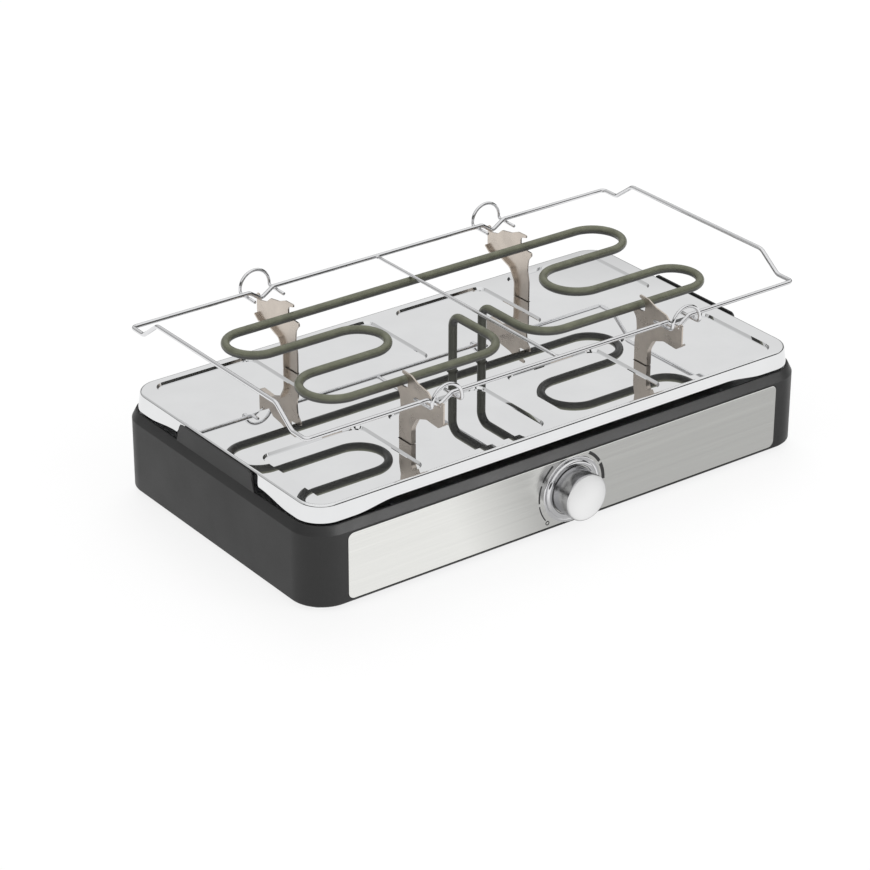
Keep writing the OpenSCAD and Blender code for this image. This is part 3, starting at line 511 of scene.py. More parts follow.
def add_node(tree, kind, inputs=None, **settings):
    """A new shader node with its settings and inputs; returns its outputs."""
    node = tree.nodes.new(kind)
    for name, value in settings.items():
        setattr(node, name, value)
    give(tree, node, inputs or {})
    return node.outputs


def noise(tree, vector, scale, detail, roughness=0.5):
    return add_node(tree, "ShaderNodeTexNoise", {
        "Vector": vector, "Scale": scale, "Detail": detail, "Roughness": roughness})["Fac"]


def math_node(tree, operation, a, b):
    return add_node(tree, "ShaderNodeMath", {0: a, 1: b}, operation=operation)[0]


def times(tree, a, b):
    return math_node(tree, "MULTIPLY", a, b)


def plus(tree, a, b):
    return math_node(tree, "ADD", a, b)


def most(tree, a, b):
    return math_node(tree, "MAXIMUM", a, b)


def span(tree, value, low, high, to_low=0, to_high=1):
    """Takes a value from one range to another, and keeps it there."""
    return add_node(tree, "ShaderNodeMapRange", {
        "Value": value, "From Min": low, "From Max": high, "To Min": to_low, "To Max": to_high},
        clamp=True)["Result"]


def mix(tree, kind, share, a, b):
    return add_node(tree, "ShaderNodeMix", {"Factor": share, "A": a, "B": b},
                    data_type=kind)["Result"]


def apart(tree, vector):
    """The X, Y and Z outputs of a vector."""
    return add_node(tree, "ShaderNodeSeparateXYZ", {0: vector})


# Node groups that the finishes share

def new_group(name, inputs, outputs):
    """A node group with its inputs and outputs, each a name, a kind and, for inputs, a value."""
    group = bpy.data.node_groups.new(name, "ShaderNodeTree")
    for label, kind, value in inputs:
        socket = group.interface.new_socket(label, in_out="INPUT", socket_type=kind)
        if value is not None:
            socket.default_value = value
    for label, kind in outputs:
        group.interface.new_socket(label, in_out="OUTPUT", socket_type=kind)
    return group, group.nodes.new("NodeGroupInput").outputs, group.nodes.new("NodeGroupOutput")


def grain_group(name):
    """Fine even grain of a moulded or cast skin, with a little coarser unevenness."""
    group, given, result = new_group(name, [
        ("Vector", "NodeSocketVector", None), ("Scale", "NodeSocketFloat", 1500.0),
        ("Coarse", "NodeSocketFloat", 0.3)], [("Height", "NodeSocketFloat")])
    fine = noise(group, given["Vector"], given["Scale"], 3)
    wide = noise(group, given["Vector"], times(group, given["Scale"], 0.08), 2)
    give(group, result, {"Height": plus(group, fine, times(group, wide, given["Coarse"]))})
    return group


def brush_group(name):
    """Long fine scratches of brushed metal; Stretch squeezes the grain across them."""
    group, given, result = new_group(name, [
        ("Vector", "NodeSocketVector", None), ("Stretch", "NodeSocketVector", (10, 1500, 1500)),
        ("Break up", "NodeSocketFloat", 0.35)],
        [("Lines", "NodeSocketFloat"), ("Streaks", "NodeSocketFloat")])
    scaled = add_node(group, "ShaderNodeVectorMath", {0: given["Vector"], 1: given["Stretch"]},
                      operation="MULTIPLY")["Vector"]
    wide = add_node(group, "ShaderNodeVectorMath", {0: scaled, "Scale": 0.12},
                    operation="SCALE")["Vector"]
    lines = noise(group, scaled, 1.0, 4, 0.7)
    streaks = noise(group, wide, 1.0, 3)
    give(group, result, {
        "Lines": plus(group, lines, times(group, streaks, given["Break up"])),
        "Streaks": span(group, streaks, 0.35, 0.65)})
    return group


def mottle_group(name):
    """Soft clouds of a darker and a lighter tone, as on handled or heated metal."""
    group, given, result = new_group(name, [
        ("Vector", "NodeSocketVector", None), ("Scale", "NodeSocketFloat", 60.0),
        ("Dark", "NodeSocketColor", (0.1, 0.1, 0.1, 1)),
        ("Light", "NodeSocketColor", (0.2, 0.2, 0.2, 1)), ("Specks", "NodeSocketFloat", 0.2)],
        [("Colour", "NodeSocketColor"), ("Mask", "NodeSocketFloat")])
    clouds = noise(group, given["Vector"], given["Scale"], 4, 0.55)
    fine = noise(group, given["Vector"], times(group, given["Scale"], 14), 2)
    speck = times(group, math_node(group, "SUBTRACT", fine, 0.5), given["Specks"])
    mask = span(group, plus(group, clouds, speck), 0.33, 0.67)
    give(group, result, {
        "Colour": mix(group, "RGBA", mask, given["Dark"], given["Light"]), "Mask": mask})
    return group


GROUPS = {"Skin grain": grain_group, "Brush lines": brush_group, "Mottled tone": mottle_group}


def use_group(tree, name, place, **values):
    """A shared node group, made once, with its values; returns its outputs."""
    group = bpy.data.node_groups.get(name) or GROUPS[name](name)
    return add_node(tree, "ShaderNodeGroup", {"Vector": place, **values}, node_tree=group)


# Finishes

def shades(tone, vary):
    """A darker and a lighter tone round a colour."""
    return [tuple(min(1, c * (1 + s * vary)) for c in tone) + (1,) for s in (-1, 1)]


def new_finish(name):
    made = bpy.data.materials.new(name)
    made.use_nodes = True
    tree = made.node_tree
    place = add_node(tree, "ShaderNodeTexCoord")["Object"]
    return made, tree, tree.nodes["Principled BSDF"], place


def relief(tree, height, strength, depth):
    """Bumps in the surface, their depth in millimetres."""
    return add_node(tree, "ShaderNodeBump", {
        "Strength": strength, "Distance": depth * MM, "Height": height})["Normal"]


def plain_finish(name, tone, rough, metallic=0, vary=0.08, clouds=60, grain=1500, depth=0.02,
                 coarse=0.3, shine=0.5):
    """A skin with clouded tone, uneven gloss and a fine grain."""
    made, tree, shader, place = new_finish(name)
    dark, light = shades(tone, vary)
    mottle = use_group(tree, "Mottled tone", place, Scale=clouds, Dark=dark, Light=light)
    skin = use_group(tree, "Skin grain", place, Scale=grain, Coarse=coarse)
    give(tree, shader, {
        "Base Color": mottle["Colour"], "Roughness": span(tree, mottle["Mask"], 0, 1, *rough),
        "Metallic": metallic, "Specular IOR Level": shine,
        "Normal": relief(tree, skin["Height"], 0.5, depth)})
    return made


def brushed_finish(name, tone, rough, stretch, vary, depth=0.006):
    """Brushed metal: fine lines in its tone, gloss and surface."""
    made, tree, shader, place = new_finish(name)
    brush = use_group(tree, "Brush lines", place, Stretch=stretch)
    share = span(tree, brush["Lines"], 0.45, 0.85)
    give(tree, shader, {
        "Base Color": mix(tree, "RGBA", share, *shades(tone, vary)),
        "Roughness": span(tree, brush["Streaks"], 0, 1, *rough), "Metallic": 1,
        "Normal": relief(tree, brush["Lines"], 0.6, depth)})
    return made


def mirror_finish(name, tone, rough, wave, depth):
    """Polished metal: slow waves in the surface and faint smudges."""
    made, tree, shader, place = new_finish(name)
    dark, light = shades(tone, 0.02)
    smudge = use_group(tree, "Mottled tone", place, Scale=26.0, Dark=dark, Light=light, Specks=0.1)
    give(tree, shader, {
        "Base Color": smudge["Colour"], "Roughness": span(tree, smudge["Mask"], 0, 1, *rough),
        "Metallic": 1, "Normal": relief(tree, noise(tree, place, wave, 1), 1, depth)})
    return made


def paint_side_shade(made, axis, dark_at, own_at, dark):
    """Painted shade: a dark tone on one side of a piece, by its normal's part along an axis.

    The tone is dark at dark_at and the finish's own at own_at.
    """
    tree = made.node_tree
    base = tree.nodes["Principled BSDF"].inputs["Base Color"]
    own_share = span(tree, apart(tree, add_node(tree, "ShaderNodeNewGeometry")["Normal"])[axis],
                     dark_at, own_at)
    tree.links.new(mix(tree, "RGBA", own_share, dark, base.links[0].from_socket), base)


LEAD_SKIN = dict(rough=(0.4, 0.5), vary=0.06)

# Each slot's finish: how it is made, its tone or the name of its colour setting, and the rest
FINISHES = {
    "black_plastic": (plain_finish, "plastic", dict(
        rough=(0.40, 0.50), vary=0.06, clouds=25, grain=2200, depth=0.035, shine=0.27)),
    "cover_plastic": (plain_finish, (0.03, 0.03, 0.03), dict(
        rough=(0.5, 0.62), clouds=25, grain=1600, depth=0.05)),
    "foot_rubber": (plain_finish, (0.02, 0.02, 0.02), dict(
        rough=(0.7, 0.85), vary=0.12, clouds=150, grain=2600, depth=0.06)),
    "panel_steel": (brushed_finish, "steel", dict(
        rough=(0.16, 0.22), stretch=(9, 900, 2600), vary=0.04, depth=0.0012)),
    "print": (plain_finish, "ink", dict(
        rough=(0.45, 0.6), vary=0.15, clouds=300, grain=3000, depth=0.01)),
    "bright_chrome": (mirror_finish, "chrome", dict(rough=(0.06, 0.11), wave=60, depth=0.01)),
    "satin_metal": (brushed_finish, "knob", dict(
        rough=(0.18, 0.24), stretch=(6, 1100, 6), vary=0.1, depth=0.004)),
    "hub_plastic": (plain_finish, (0.09, 0.09, 0.09), dict(
        rough=(0.5, 0.6), vary=0.1, depth=0.03)),
    "zinc_steel": (plain_finish, (0.55, 0.56, 0.57), dict(
        rough=(0.28, 0.42), metallic=1, clouds=220, grain=1800)),
    "pale_plastic": (plain_finish, (0.72, 0.69, 0.60), dict(
        rough=(0.42, 0.55), vary=0.04, grain=1200, depth=0.03)),
    "terminal_brass": (plain_finish, (0.62, 0.50, 0.24), dict(
        rough=(0.25, 0.4), metallic=1, vary=0.1, clouds=180, grain=1800)),
    "shield_sheet": (brushed_finish, (0.56, 0.57, 0.58), dict(
        rough=(0.3, 0.42), stretch=(700, 9, 700), vary=0.06)),
    "mirror_steel": (mirror_finish, "mirror", dict(rough=(0.001, 0.005), wave=6.0, depth=0.10)),
    "element_tube": (plain_finish, "tube", dict(
        rough=(0.30, 0.42), metallic=0.25, vary=0.16, clouds=110, grain=1400, depth=0.03,
        coarse=0.8)),
    "bracket_steel": (plain_finish, "nickel", dict(
        rough=(0.24, 0.40), metallic=1, vary=0.12, clouds=55, depth=0.03, coarse=0.9)),
    "rack_chrome": (mirror_finish, "chrome", dict(rough=(0.02, 0.05), wave=120, depth=0.006)),
    "brown_lead": (plain_finish, (0.17, 0.07, 0.03), LEAD_SKIN),
    "grey_lead": (plain_finish, (0.25, 0.25, 0.25), LEAD_SKIN),
    "blue_lead": (plain_finish, (0.05, 0.11, 0.33), LEAD_SKIN),
    "green_lead": (plain_finish, (0.15, 0.32, 0.06), LEAD_SKIN),
}

# Finishes with painted shade on one side. The knob's turned side is painted darker than its face,
# and the heating tube's underside is painted almost black.
SHADE_PAINTED_SIDES = {
    # Painted shade: the knob's side is painted darker than its face
    "satin_metal": dict(axis="Y", dark_at=-0.6, own_at=-0.9, dark=(0.42, 0.42, 0.43, 1)),
    # Painted shade: the heating tube's underside is painted almost black
    "element_tube": dict(axis="Z", dark_at=-0.2, own_at=0.55, dark=(0.066, 0.066, 0.062, 1)),
}


def finish(slot):
    """A slot's finish, made once. The frame's own plain material has the slot's name."""
    name = slot + "_finish"
    made = bpy.data.materials.get(name)
    if made is None:
        build, tone, settings = FINISHES[slot]
        made = build(name, getattr(colours(), tone) if isinstance(tone, str) else tone, **settings)
        # Painted shade on one side, for the finishes listed with it
        if slot in SHADE_PAINTED_SIDES:
            paint_side_shade(made, **SHADE_PAINTED_SIDES[slot])
    return made


# Stage

def flat_piece(name, corners, made):
    """A stage piece with one level face."""
    bm = bmesh.new()
    bm.faces.new(add_loop(bm, [Vector((x, y, 0)) for x, y in corners]))
    obj = mesh_object(name, bm)
    obj.data.materials.append(made)
    return obj


def stage_floor():
    """White floor that keeps the object's shadow and shows white to the camera and to metal."""
    made, tree, shader, place = new_finish("floor_white")
    tree.nodes.remove(shader)
    tone = tuple(colours().floor)
    mottle = use_group(tree, "Mottled tone", place, Scale=1.5, Dark=tone + (1,),
                       Light=tuple(c + 0.01 for c in tone) + (1,))
    lit = add_node(tree, "ShaderNodeBsdfDiffuse", {"Color": mottle["Colour"]})[0]
    white = add_node(tree, "ShaderNodeEmission", {"Strength": 1})[0]
    rays = add_node(tree, "ShaderNodeLightPath")
    seen = most(tree, rays["Is Camera Ray"], rays["Is Glossy Ray"])
    seen = most(tree, seen, rays["Is Transmission Ray"])
    both = add_node(tree, "ShaderNodeMixShader", {
        "Fac": times(tree, seen, FLOOR_GLOW), 1: lit, 2: white})[0]
    give(tree, tree.nodes["Material Output"], {"Surface": both})
    floor = flat_piece("floor", [(30 * x, 30 * y) for x, y in SQUARE], made)


def stage_world():
    """White studio: plain light for matt surfaces; for metal a bright ceiling over dark walls."""
    world = bpy.data.worlds.new("studio")
    bpy.context.scene.world = world
    world.use_nodes = True
    tree = world.node_tree
    x, y, z = apart(tree, add_node(tree, "ShaderNodeTexCoord")["Generated"])

    # The ceiling: none low on the left behind, and with a higher edge at the front right
    roofed = most(tree, span(tree, x, -0.35, 0.15), span(tree, z, 0.62, 0.8))
    roofed = most(tree, roofed, span(tree, y, 0.15, 0.4, 1, 0))
    ahead = times(tree, span(tree, y, -0.58, -0.5, 1, 0), span(tree, x, 0.2, 0.4))
    above = math_node(tree, "SUBTRACT", z, span(tree, ahead, 0, 1, 0, 0.2))
    ceiling = times(tree, span(tree, above, 0.36, 0.41), roofed)
    # At the front left, the light reaches lower.
    front = times(tree, span(tree, z, 0.2, 0.28), span(tree, y, -0.6, -0.35, 1, 0))
    ceiling = most(tree, ceiling, times(tree, front, span(tree, x, -0.2, 0, 1, 0)))
    metal = span(tree, ceiling, 0, 1, span(tree, y, 0.2, 0.5, 0.06, 0.27), 0.88)
    metal = plus(tree, metal, span(tree, z, 0.6, 0.9, 0, 0.12))
    # A grey wall behind on the left
    behind = times(tree, span(tree, x, 0.15, 0.35, 1, 0), span(tree, y, 0.15, 0.4))
    metal = most(tree, metal, times(tree, behind, span(tree, z, 0.2, 0.3, 0, 0.62)))

    rays = add_node(tree, "ShaderNodeLightPath")
    level = mix(tree, "FLOAT", rays["Is Glossy Ray"], MATT_LIGHT, metal)
    seen = most(tree, rays["Is Camera Ray"], rays["Is Transmission Ray"])
    give(tree, tree.nodes["Background"], {
        "Color": (1, 1, 1, 1), "Strength": most(tree, level, seen)})


def stage_card():
    """A grey card on the floor that only metal sees: it shades the front from left to right."""
    made, tree, shader, place = new_finish("card_grey")
    tree.nodes.remove(shader)
    across, out, _ = apart(tree, place)
    # The shade starts at a slanting edge, with a light oval spot below the knob.
    edge = plus(tree, across, times(tree, out, 0.5))
    straight = plus(tree, across, times(tree, out, CARD_SLANT))
    at = add_node(tree, "ShaderNodeCombineXYZ", {"X": times(tree, straight, 1.5), "Y": out})[0]
    spot = add_node(tree, "ShaderNodeVectorMath", {0: at, 1: (-0.0177, -0.0627, 0)},
                    operation="DISTANCE")
    shade = times(tree, span(tree, edge, -0.09, -0.02), span(tree, spot["Value"], 0.027, 0.032))
    glow = add_node(tree, "ShaderNodeEmission", {
        "Strength": span(tree, shade, 0, 1, 0.98, 0.53)})[0]
    give(tree, tree.nodes["Material Output"], {"Surface": glow})
    left, right, far, near = -0.26, 0.30, -0.12, -0.001
    card = flat_piece("card", [(side - CARD_SLANT * y, y) for side, y in (
        (left, far), (right, far), (right, near), (left, near))], made)
    card.location = (0, FRONT_Y, 0.4 * MM)
    for ray in ("camera", "diffuse", "transmission", "volume_scatter", "shadow"):
        setattr(card, f"visible_{ray}", False)


def stage_lamp(name, place, aim, size, power):
    """A square soft lamp that metal doesn't see; power is in watts."""
    lamp = bpy.data.lights.new(name, "AREA")
    lamp.shape, lamp.size, lamp.energy = "SQUARE", size, power
    obj = add_object(name, lamp)
    obj.location = place
    obj.rotation_mode = "QUATERNION"
    obj.rotation_quaternion = (Vector(aim) - Vector(place)).to_track_quat("-Z", "Y")
    obj.visible_glossy = False
    return obj


class RACLETTE_OT_stage(bpy.types.Operator):
    """Camera, pale floor, plain soft light and white surroundings"""

    bl_idname = "raclette.stage"
    bl_label = "Stage"

    def execute(self, context):
        azimuth, elevation, roll = (math.radians(d) for d in CAMERA_TURN)
        turn = (Matrix.Rotation(azimuth, 4, "Z") @ Matrix.Rotation(math.pi / 2 - elevation, 4, "X")
                @ Matrix.Rotation(roll, 4, "Z"))
        lens = bpy.data.cameras.new("camera")
        lens.lens, lens.sensor_width = sizes().lens, 36
        lens.clip_start, lens.clip_end = 0.05, 100
        camera = add_object("camera", lens)
        camera.matrix_world = Matrix.Translation(CAMERA_AT) @ turn
        context.scene.camera = camera
        context.scene.view_settings.view_transform = "Standard"
        stage_floor()
        stage_world()
        stage_card()
        side = sizes().lamp_size
        stage_lamp("key", place=(0.9, 1.3, 2.0), aim=(0, 0, 0), size=side, power=26)
        stage_lamp("fill", place=(-2.2, 0.1, 1.3), aim=(0, 0, 0.05), size=side, power=10)
        stage_lamp("front", place=(0.6, -1.9, 1.3), aim=(0, 0, 0.05), size=side, power=16)
        return {"FINISHED"}


# Housing

def housing_profile(edge):
    """Cross section of the housing's wall as distance in from the outline, and height."""
    under = LEDGE_Z - SHELL_T
    corners = [
        (1.2 * MM, BASE_Z, 0.3), (0, BASE_Z + 1.2 * MM, 0.8), (0, BAND_Z, 1.1),
        (BAND_IN, RIM_Z, 0.7), (BAND_IN + RIM_T, RIM_Z, 0.35), (BAND_IN + RIM_T, LEDGE_Z, 0.3),
        (LEDGE_IN, LEDGE_Z, 0.4), (LEDGE_IN, under, 0.4), (SHELL_T, under, 0.5),
        (SHELL_T, BASE_Z, 0.3)]
    points = [Vector((inset, z)) for inset, z, share in corners]
    return rounded(points, [edge * share for inset, z, share in corners], 4)


def tab_outline():
    """Outline of an end tab: distance along the end from its middle, and height."""
    half, slant, low = 45 * MM, 5 * MM, RIM_Z - 0.5 * MM
    points = [Vector((-half - slant, low)), Vector((half + slant, low)),
              Vector((half, DECK_Z)), Vector((-half, DECK_Z))]
    return rounded(points, [0, 0, 4 * MM, 4 * MM], 10)


class RACLETTE_OT_housing(bpy.types.Operator):
    """Moulded housing: sloped band, rim, ledge, end tabs, posts and the recess for the front"""

    bl_idname = "raclette.housing"
    bl_label = "Housing"

    def execute(self, context):
        bm = bmesh.new()
        outline = ring(HALF_X, HALF_Y, CORNER_R, 20, 60 * MM)
        loops = [level_loop(bm, outline, inset, z)
                 for inset, z in housing_profile(sizes().moulded_edge)]
        join_rows(bm, loops, closed=True)
        shell = make("housing_shell", bm, "black_plastic", "base", "housing")
        cutter = bmesh.new()
        play = 0.3 * MM
        recess = ring(PANEL_HIGH.x + play, PANEL_HALF_Z + play, 5.3 * MM, 8)
        prism(cutter, upright(recess, 0, FRONT_Y), Y * (-1 * MM), Y * (0.6 * MM))
        hole = circle(Vector((0, FRONT_Y, KNOB_Z)), X, Z, SHAFT_HOLE, 32)
        prism(cutter, hole, Y * (0.3 * MM), Y * (4 * MM))
        inlet = circle(Vector((INLET_X, HOUSING_HIGH.y, INLET_Z)), X, Z, INLET_R, 32)
        prism(cutter, inlet, Y * (-4 * MM), Y * (1 * MM))
        cut_out(shell, cutter)
        shell.data.set_sharp_from_angle(angle=math.radians(35))

        bm = bmesh.new()
        tab = [Vector((0, MID_Y + p.x, p.y)) for p in tab_outline()]
        outer = HALF_X - BAND_IN
        for side in (-1, 1):
            prism(bm, tab, X * (side * (outer - 1.4 * MM)), X * (side * outer))
        soften(bm, 40, 0.35 * MM, 3)
        make("housing_tabs", bm, "black_plastic", "base")

        bm = bmesh.new()
        shift = 19.5 * MM * math.cos(math.radians(45)) - CORNER_R
        side_low = LEDGE_Z - SHELL_T - 10 * MM
        for x in (-1, 1):
            for y in (-1, 1):
                post(bm, x * (HALF_X + shift), MID_Y + y * (HALF_Y + shift),
                     BASE_Z + 2 * MM, CORNER_POST)
                post(bm, x * INLET_X, MID_Y + y * (HALF_Y - SIDE_POST_IN), side_low, SIDE_POST)
            post(bm, x * (HALF_X - SIDE_POST_IN), MID_Y, side_low, SIDE_POST)
        make("housing_posts", bm, "black_plastic", "base")
        return {"FINISHED"}


class RACLETTE_OT_sheen(bpy.types.Operator):
    """Soft light that shows only as a sheen on the dark shell's sloped band"""

    bl_idname = "raclette.sheen"
    bl_label = "Sheen on the shell"

    def execute(self, context):
        shell = bpy.data.collections.new("dark_shell")
        for name in ("housing_shell", "housing_tabs"):
            shell.objects.link(bpy.data.objects[name])
        lamp = stage_lamp("sheen", place=(0.55, -1.6, 0.57), aim=(-0.1, -0.13, 0.06),
                          size=0.8, power=28)
        lamp.visible_glossy, lamp.visible_diffuse, lamp.visible_camera = True, False, False
        lamp.light_linking.receiver_collection = shell
        return {"FINISHED"}


# Front panel, its pressed ring and the knob

class RACLETTE_OT_front(bpy.types.Operator):
    """Brushed front panel with a softened edge, and the bright pressed ring round the knob"""

    bl_idname = "raclette.front"
    bl_label = "Front panel and ring"

    def execute(self, context):
        bm = bmesh.new()
        face, back, soft = PANEL_LOW.y, PANEL_HIGH.y, 0.35 * MM
        outline = ring(PANEL_HIGH.x, PANEL_HALF_Z, 5 * MM, 12, 40 * MM)
        steps = [(0, back), (0, face + soft), (0.25 * soft, face + 0.3 * soft),
                 (soft, face), (soft + 0.4 * MM, face)]
        loops = [add_loop(bm, upright(outline, inset, y)) for inset, y in steps]
        join_rows(bm, loops)
        holes = [add_loop(bm, circle(Vector((0, y, KNOB_Z)), X, Z, SHAFT_HOLE, 48))
                 for y in (face, back)]
        join_rows(bm, holes)
        fill_flat(bm, [loops[-1], holes[0]])
        fill_flat(bm, [loops[0], holes[1]])
        make("front_sheet", bm, "panel_steel", "base", "front_panel")

        bm = bmesh.new()
        profile = [
            (19.1, 0), (19.1, 1.45), (19.35, 1.75), (19.7, 1.8), (20.6, 1.8), (21.5, 1.72),
            (22.0, 1.45), (22.35, 1.0), (22.5, 0.62), (22.62, 0.42), (22.85, 0.32), (23.2, 0.36),
            (23.55, 0.52), (23.95, 0.6), (24.7, 0.6), (25.2, 0.52), (25.5, 0.28), (25.6, 0)]
        loops = turned(bm, [(r * MM, out * MM) for r, out in profile],
                       Vector((0, PANEL_LOW.y, KNOB_Z)))
        join_loops(bm, loops[-1], loops[0])
        make("pressed_ring", bm, "bright_chrome", "base", "knob_bezel", sharp=60)
        return {"FINISHED"}


class RACLETTE_OT_knob(bpy.types.Operator):
    """Satin knob cap with a rounded bevel, a slight waist and a hollow back"""

    bl_idname = "raclette.knob"
    bl_label = "Knob"

    def execute(self, context):
        bm = bmesh.new()
        r, top = (CAP_HIGH.x - CAP_LOW.x) / 2, CAP_HIGH.y - CAP_LOW.y
        wall, bevel, waist = 1.2 * MM, 0.9 * MM, r - 0.22 * MM
        profile = [(r - wall, 0), (r - 0.35 * MM, 0), (r - 0.08 * MM, 0.1 * MM), (r, 0.4 * MM),
                   (r, 1.3 * MM), (r - 0.15 * MM, 1.6 * MM), (r - 0.18 * MM, 4 * MM),
                   (waist, top - 1.6 * MM)]
        for k in range(7):
            a = math.radians(90 * k / 6)
            profile.append((waist - bevel * (1 - math.cos(a)), top - bevel * (1 - math.sin(a))))
        profile += [(r - 1.5 * MM, top), (r - 2.4 * MM, top), (r * 0.5, top), (0, top),
                    (0, top - wall), (r - wall - 0.4 * MM, top - wall),
                    (r - wall, top - wall - 0.4 * MM), (r - wall, 0)]
        turned(bm, profile, Vector((0, CAP_HIGH.y, KNOB_Z)), 128)
        make("knob_metal_cap", bm, "satin_metal", "knob", "knob_cap", sharp=50)
        return {"FINISHED"}


# Tray

def skirt_end(x, y):
    """Height of the skirt's lower edge at a place on its outline."""
    low, rise = TRAY_LOW.z, 3.6 * MM
    x, y = abs(x), abs(y)
    if y > HALF_Y - 20 * MM and x < HALF_X - CORNER_R:
        return low + rise * ease(x, 186 * MM, 150 * MM)
    if x > HALF_X - 20 * MM and y < HALF_Y - CORNER_R:
        edge = low + rise * ease(y, 90 * MM, 54 * MM)
        return edge + (DECK_Z - 2.3 * MM - edge) * ease(y, 52.6 * MM, 48.4 * MM)
    return low


def pan_place(bm, column, side):
    """One pressed pan place: its soft step and its floor. Returns its outer loop."""
    soft = sizes().place_soft
    middle = Vector(((column - 1.5) * PLACE_STEP, MID_Y + side * PLACE_OUT))
    steps = [(soft + 1.0 * MM, 0), (soft + 0.25 * MM, 0)]
    steps += [(soft * math.cos(math.pi * k / 10), (1 - math.cos(math.pi * k / 10)) / 2)
              for k in range(11)]
    steps += [(-soft - 0.25 * MM, 1), (-soft - 1.0 * MM, 1)]
    outer = ring(42.2 * MM, 40.2 * MM, 8.2 * MM, 14, 100 * MM)
    loops = [level_loop(bm, outer, -grow, DECK_Z - PLACE_DEEP * deep, middle)
             for grow, deep in steps]
    join_rows(bm, loops)
    bm.faces.new(loops[-1])
    return loops[0]


class RACLETTE_OT_tray(bpy.types.Operator):
    """Mirror tray: one pressed sheet with pan places, a rolled edge, a leaning skirt and slits"""

    bl_idname = "raclette.tray"
    bl_label = "Tray"

    def execute(self, context):
        bm = bmesh.new()
        lean = 1.8 / 13
        tab_gap = [m * MM for m in (47.5, 48, 48.6, 49.4, 50.2, 51, 51.8, 52.4, 52.8, 53.4)]
        outline = ring(HALF_X, HALF_Y, CORNER_R, 24, 3 * MM, tab_gap)
        corner = Vector((6.7 * MM, DECK_Z))
        arc = fillet(corner + Vector((1, 0)), corner, corner + Vector((-lean, -1)),
                     sizes().deck_roll, 7)
        rows = [Vector((arc[0].x + more * MM, DECK_Z)) for more in (1.2, 0.3)] + arc
        loops = [level_loop(bm, outline, row.x, row.y) for row in rows]
        start = rows[-1]
        for share in (0.12, 0.5, 0.9, 1):
            loop = []
            for p, out in outline:
                z = start.y + (skirt_end(p.x, p.y) - start.y) * share
                at = start.x - (start.y - z) * lean
                loop.append(Vector((p.x - out.x * at, MID_Y + p.y - out.y * at, z)))
            loops.append(add_loop(bm, loop))
        join_rows(bm, loops)
        holes = [pan_place(bm, column, side) for column in range(4) for side in (-1, 1)]
        slit = ring(1.5 * MM, 7.55 * MM, 0.4 * MM, 4, 10)
        for x in (-1, 1):
            for y in (-1, 1):
                centre = Vector((x * BRACKET_X, MID_Y + y * (STRIP_EDGE + STRIP_W / 2)))
                holes.append(level_loop(bm, slit, 0, DECK_Z, centre))
            holes.append(add_loop(bm, circle(
                Vector((x * LEG_HALF, MID_Y, DECK_Z)), X, Y, LEG_HOLE, 48)))
        fill_flat(bm, [loops[0]] + holes)
        bmesh.ops.remove_doubles(bm, verts=bm.verts, dist=SAME_PLACE)
        bmesh.ops.recalc_face_normals(bm, faces=bm.faces)
        for face in bm.faces:
            face.normal_update()
        if max(bm.faces, key=lambda f: f.calc_area()).normal.z < 0:
            bmesh.ops.reverse_faces(bm, faces=bm.faces)
        obj = mesh_object("tray_sheet", bm)
        wall = obj.modifiers.new("sheet", "SOLIDIFY")
        wall.thickness, wall.offset, wall.use_even_offset = sizes().sheet, -1, True
        settle(obj)
        dress(obj, "mirror_steel", "base", ("tray",), 40)
        return {"FINISHED"}


# Heating tube

def tube_half(side, runs, short):
    """Corners and bend radii of one half of the tube, from the foot of a leg to the back."""
    run_x, turn_x = 177.25 * MM, 75 * MM
    flat = [
        (LEG_HALF, 0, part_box("element")[0].z), (LEG_HALF, 0, TUBE_Z),
        (LEG_HALF, -OUTER_RUN, TUBE_Z), (run_x - short, -OUTER_RUN, TUBE_Z),
        (run_x - short, runs[0], TUBE_Z), (turn_x, runs[0], TUBE_Z),
        (turn_x, runs[1], TUBE_Z), (run_x, runs[1], TUBE_Z), (run_x, OUTER_RUN, TUBE_Z)]
    front, back = (OUTER_RUN + runs[0]) / 2, (OUTER_RUN - runs[1]) / 2
    middle = (runs[1] - runs[0]) / 2
    bends = [0, 9 * MM, 24 * MM, front, front, middle, middle, back, back]
    return [Vector((side * x, MID_Y + y, z)) for x, y, z in flat], bends


class RACLETTE_OT_element(bpy.types.Operator):
    """Heating tube: one bent tube with its two legs"""

    bl_idname = "raclette.element"
    bl_label = "Heating tube"

    def execute(self, context):
        left, left_bends = tube_half(-1, (-19.4 * MM, 24.2 * MM), 3.6 * MM)
        right, right_bends = tube_half(1, (-26.6 * MM, 21.8 * MM), 0)
        line = left + right[::-1], left_bends + right_bends[::-1]
        make_wire("heating_tube", line, TUBE_D, 28, "element_tube", "base", "element",
                  steps=16, sharp=60)
        return {"FINISHED"}


# Brackets

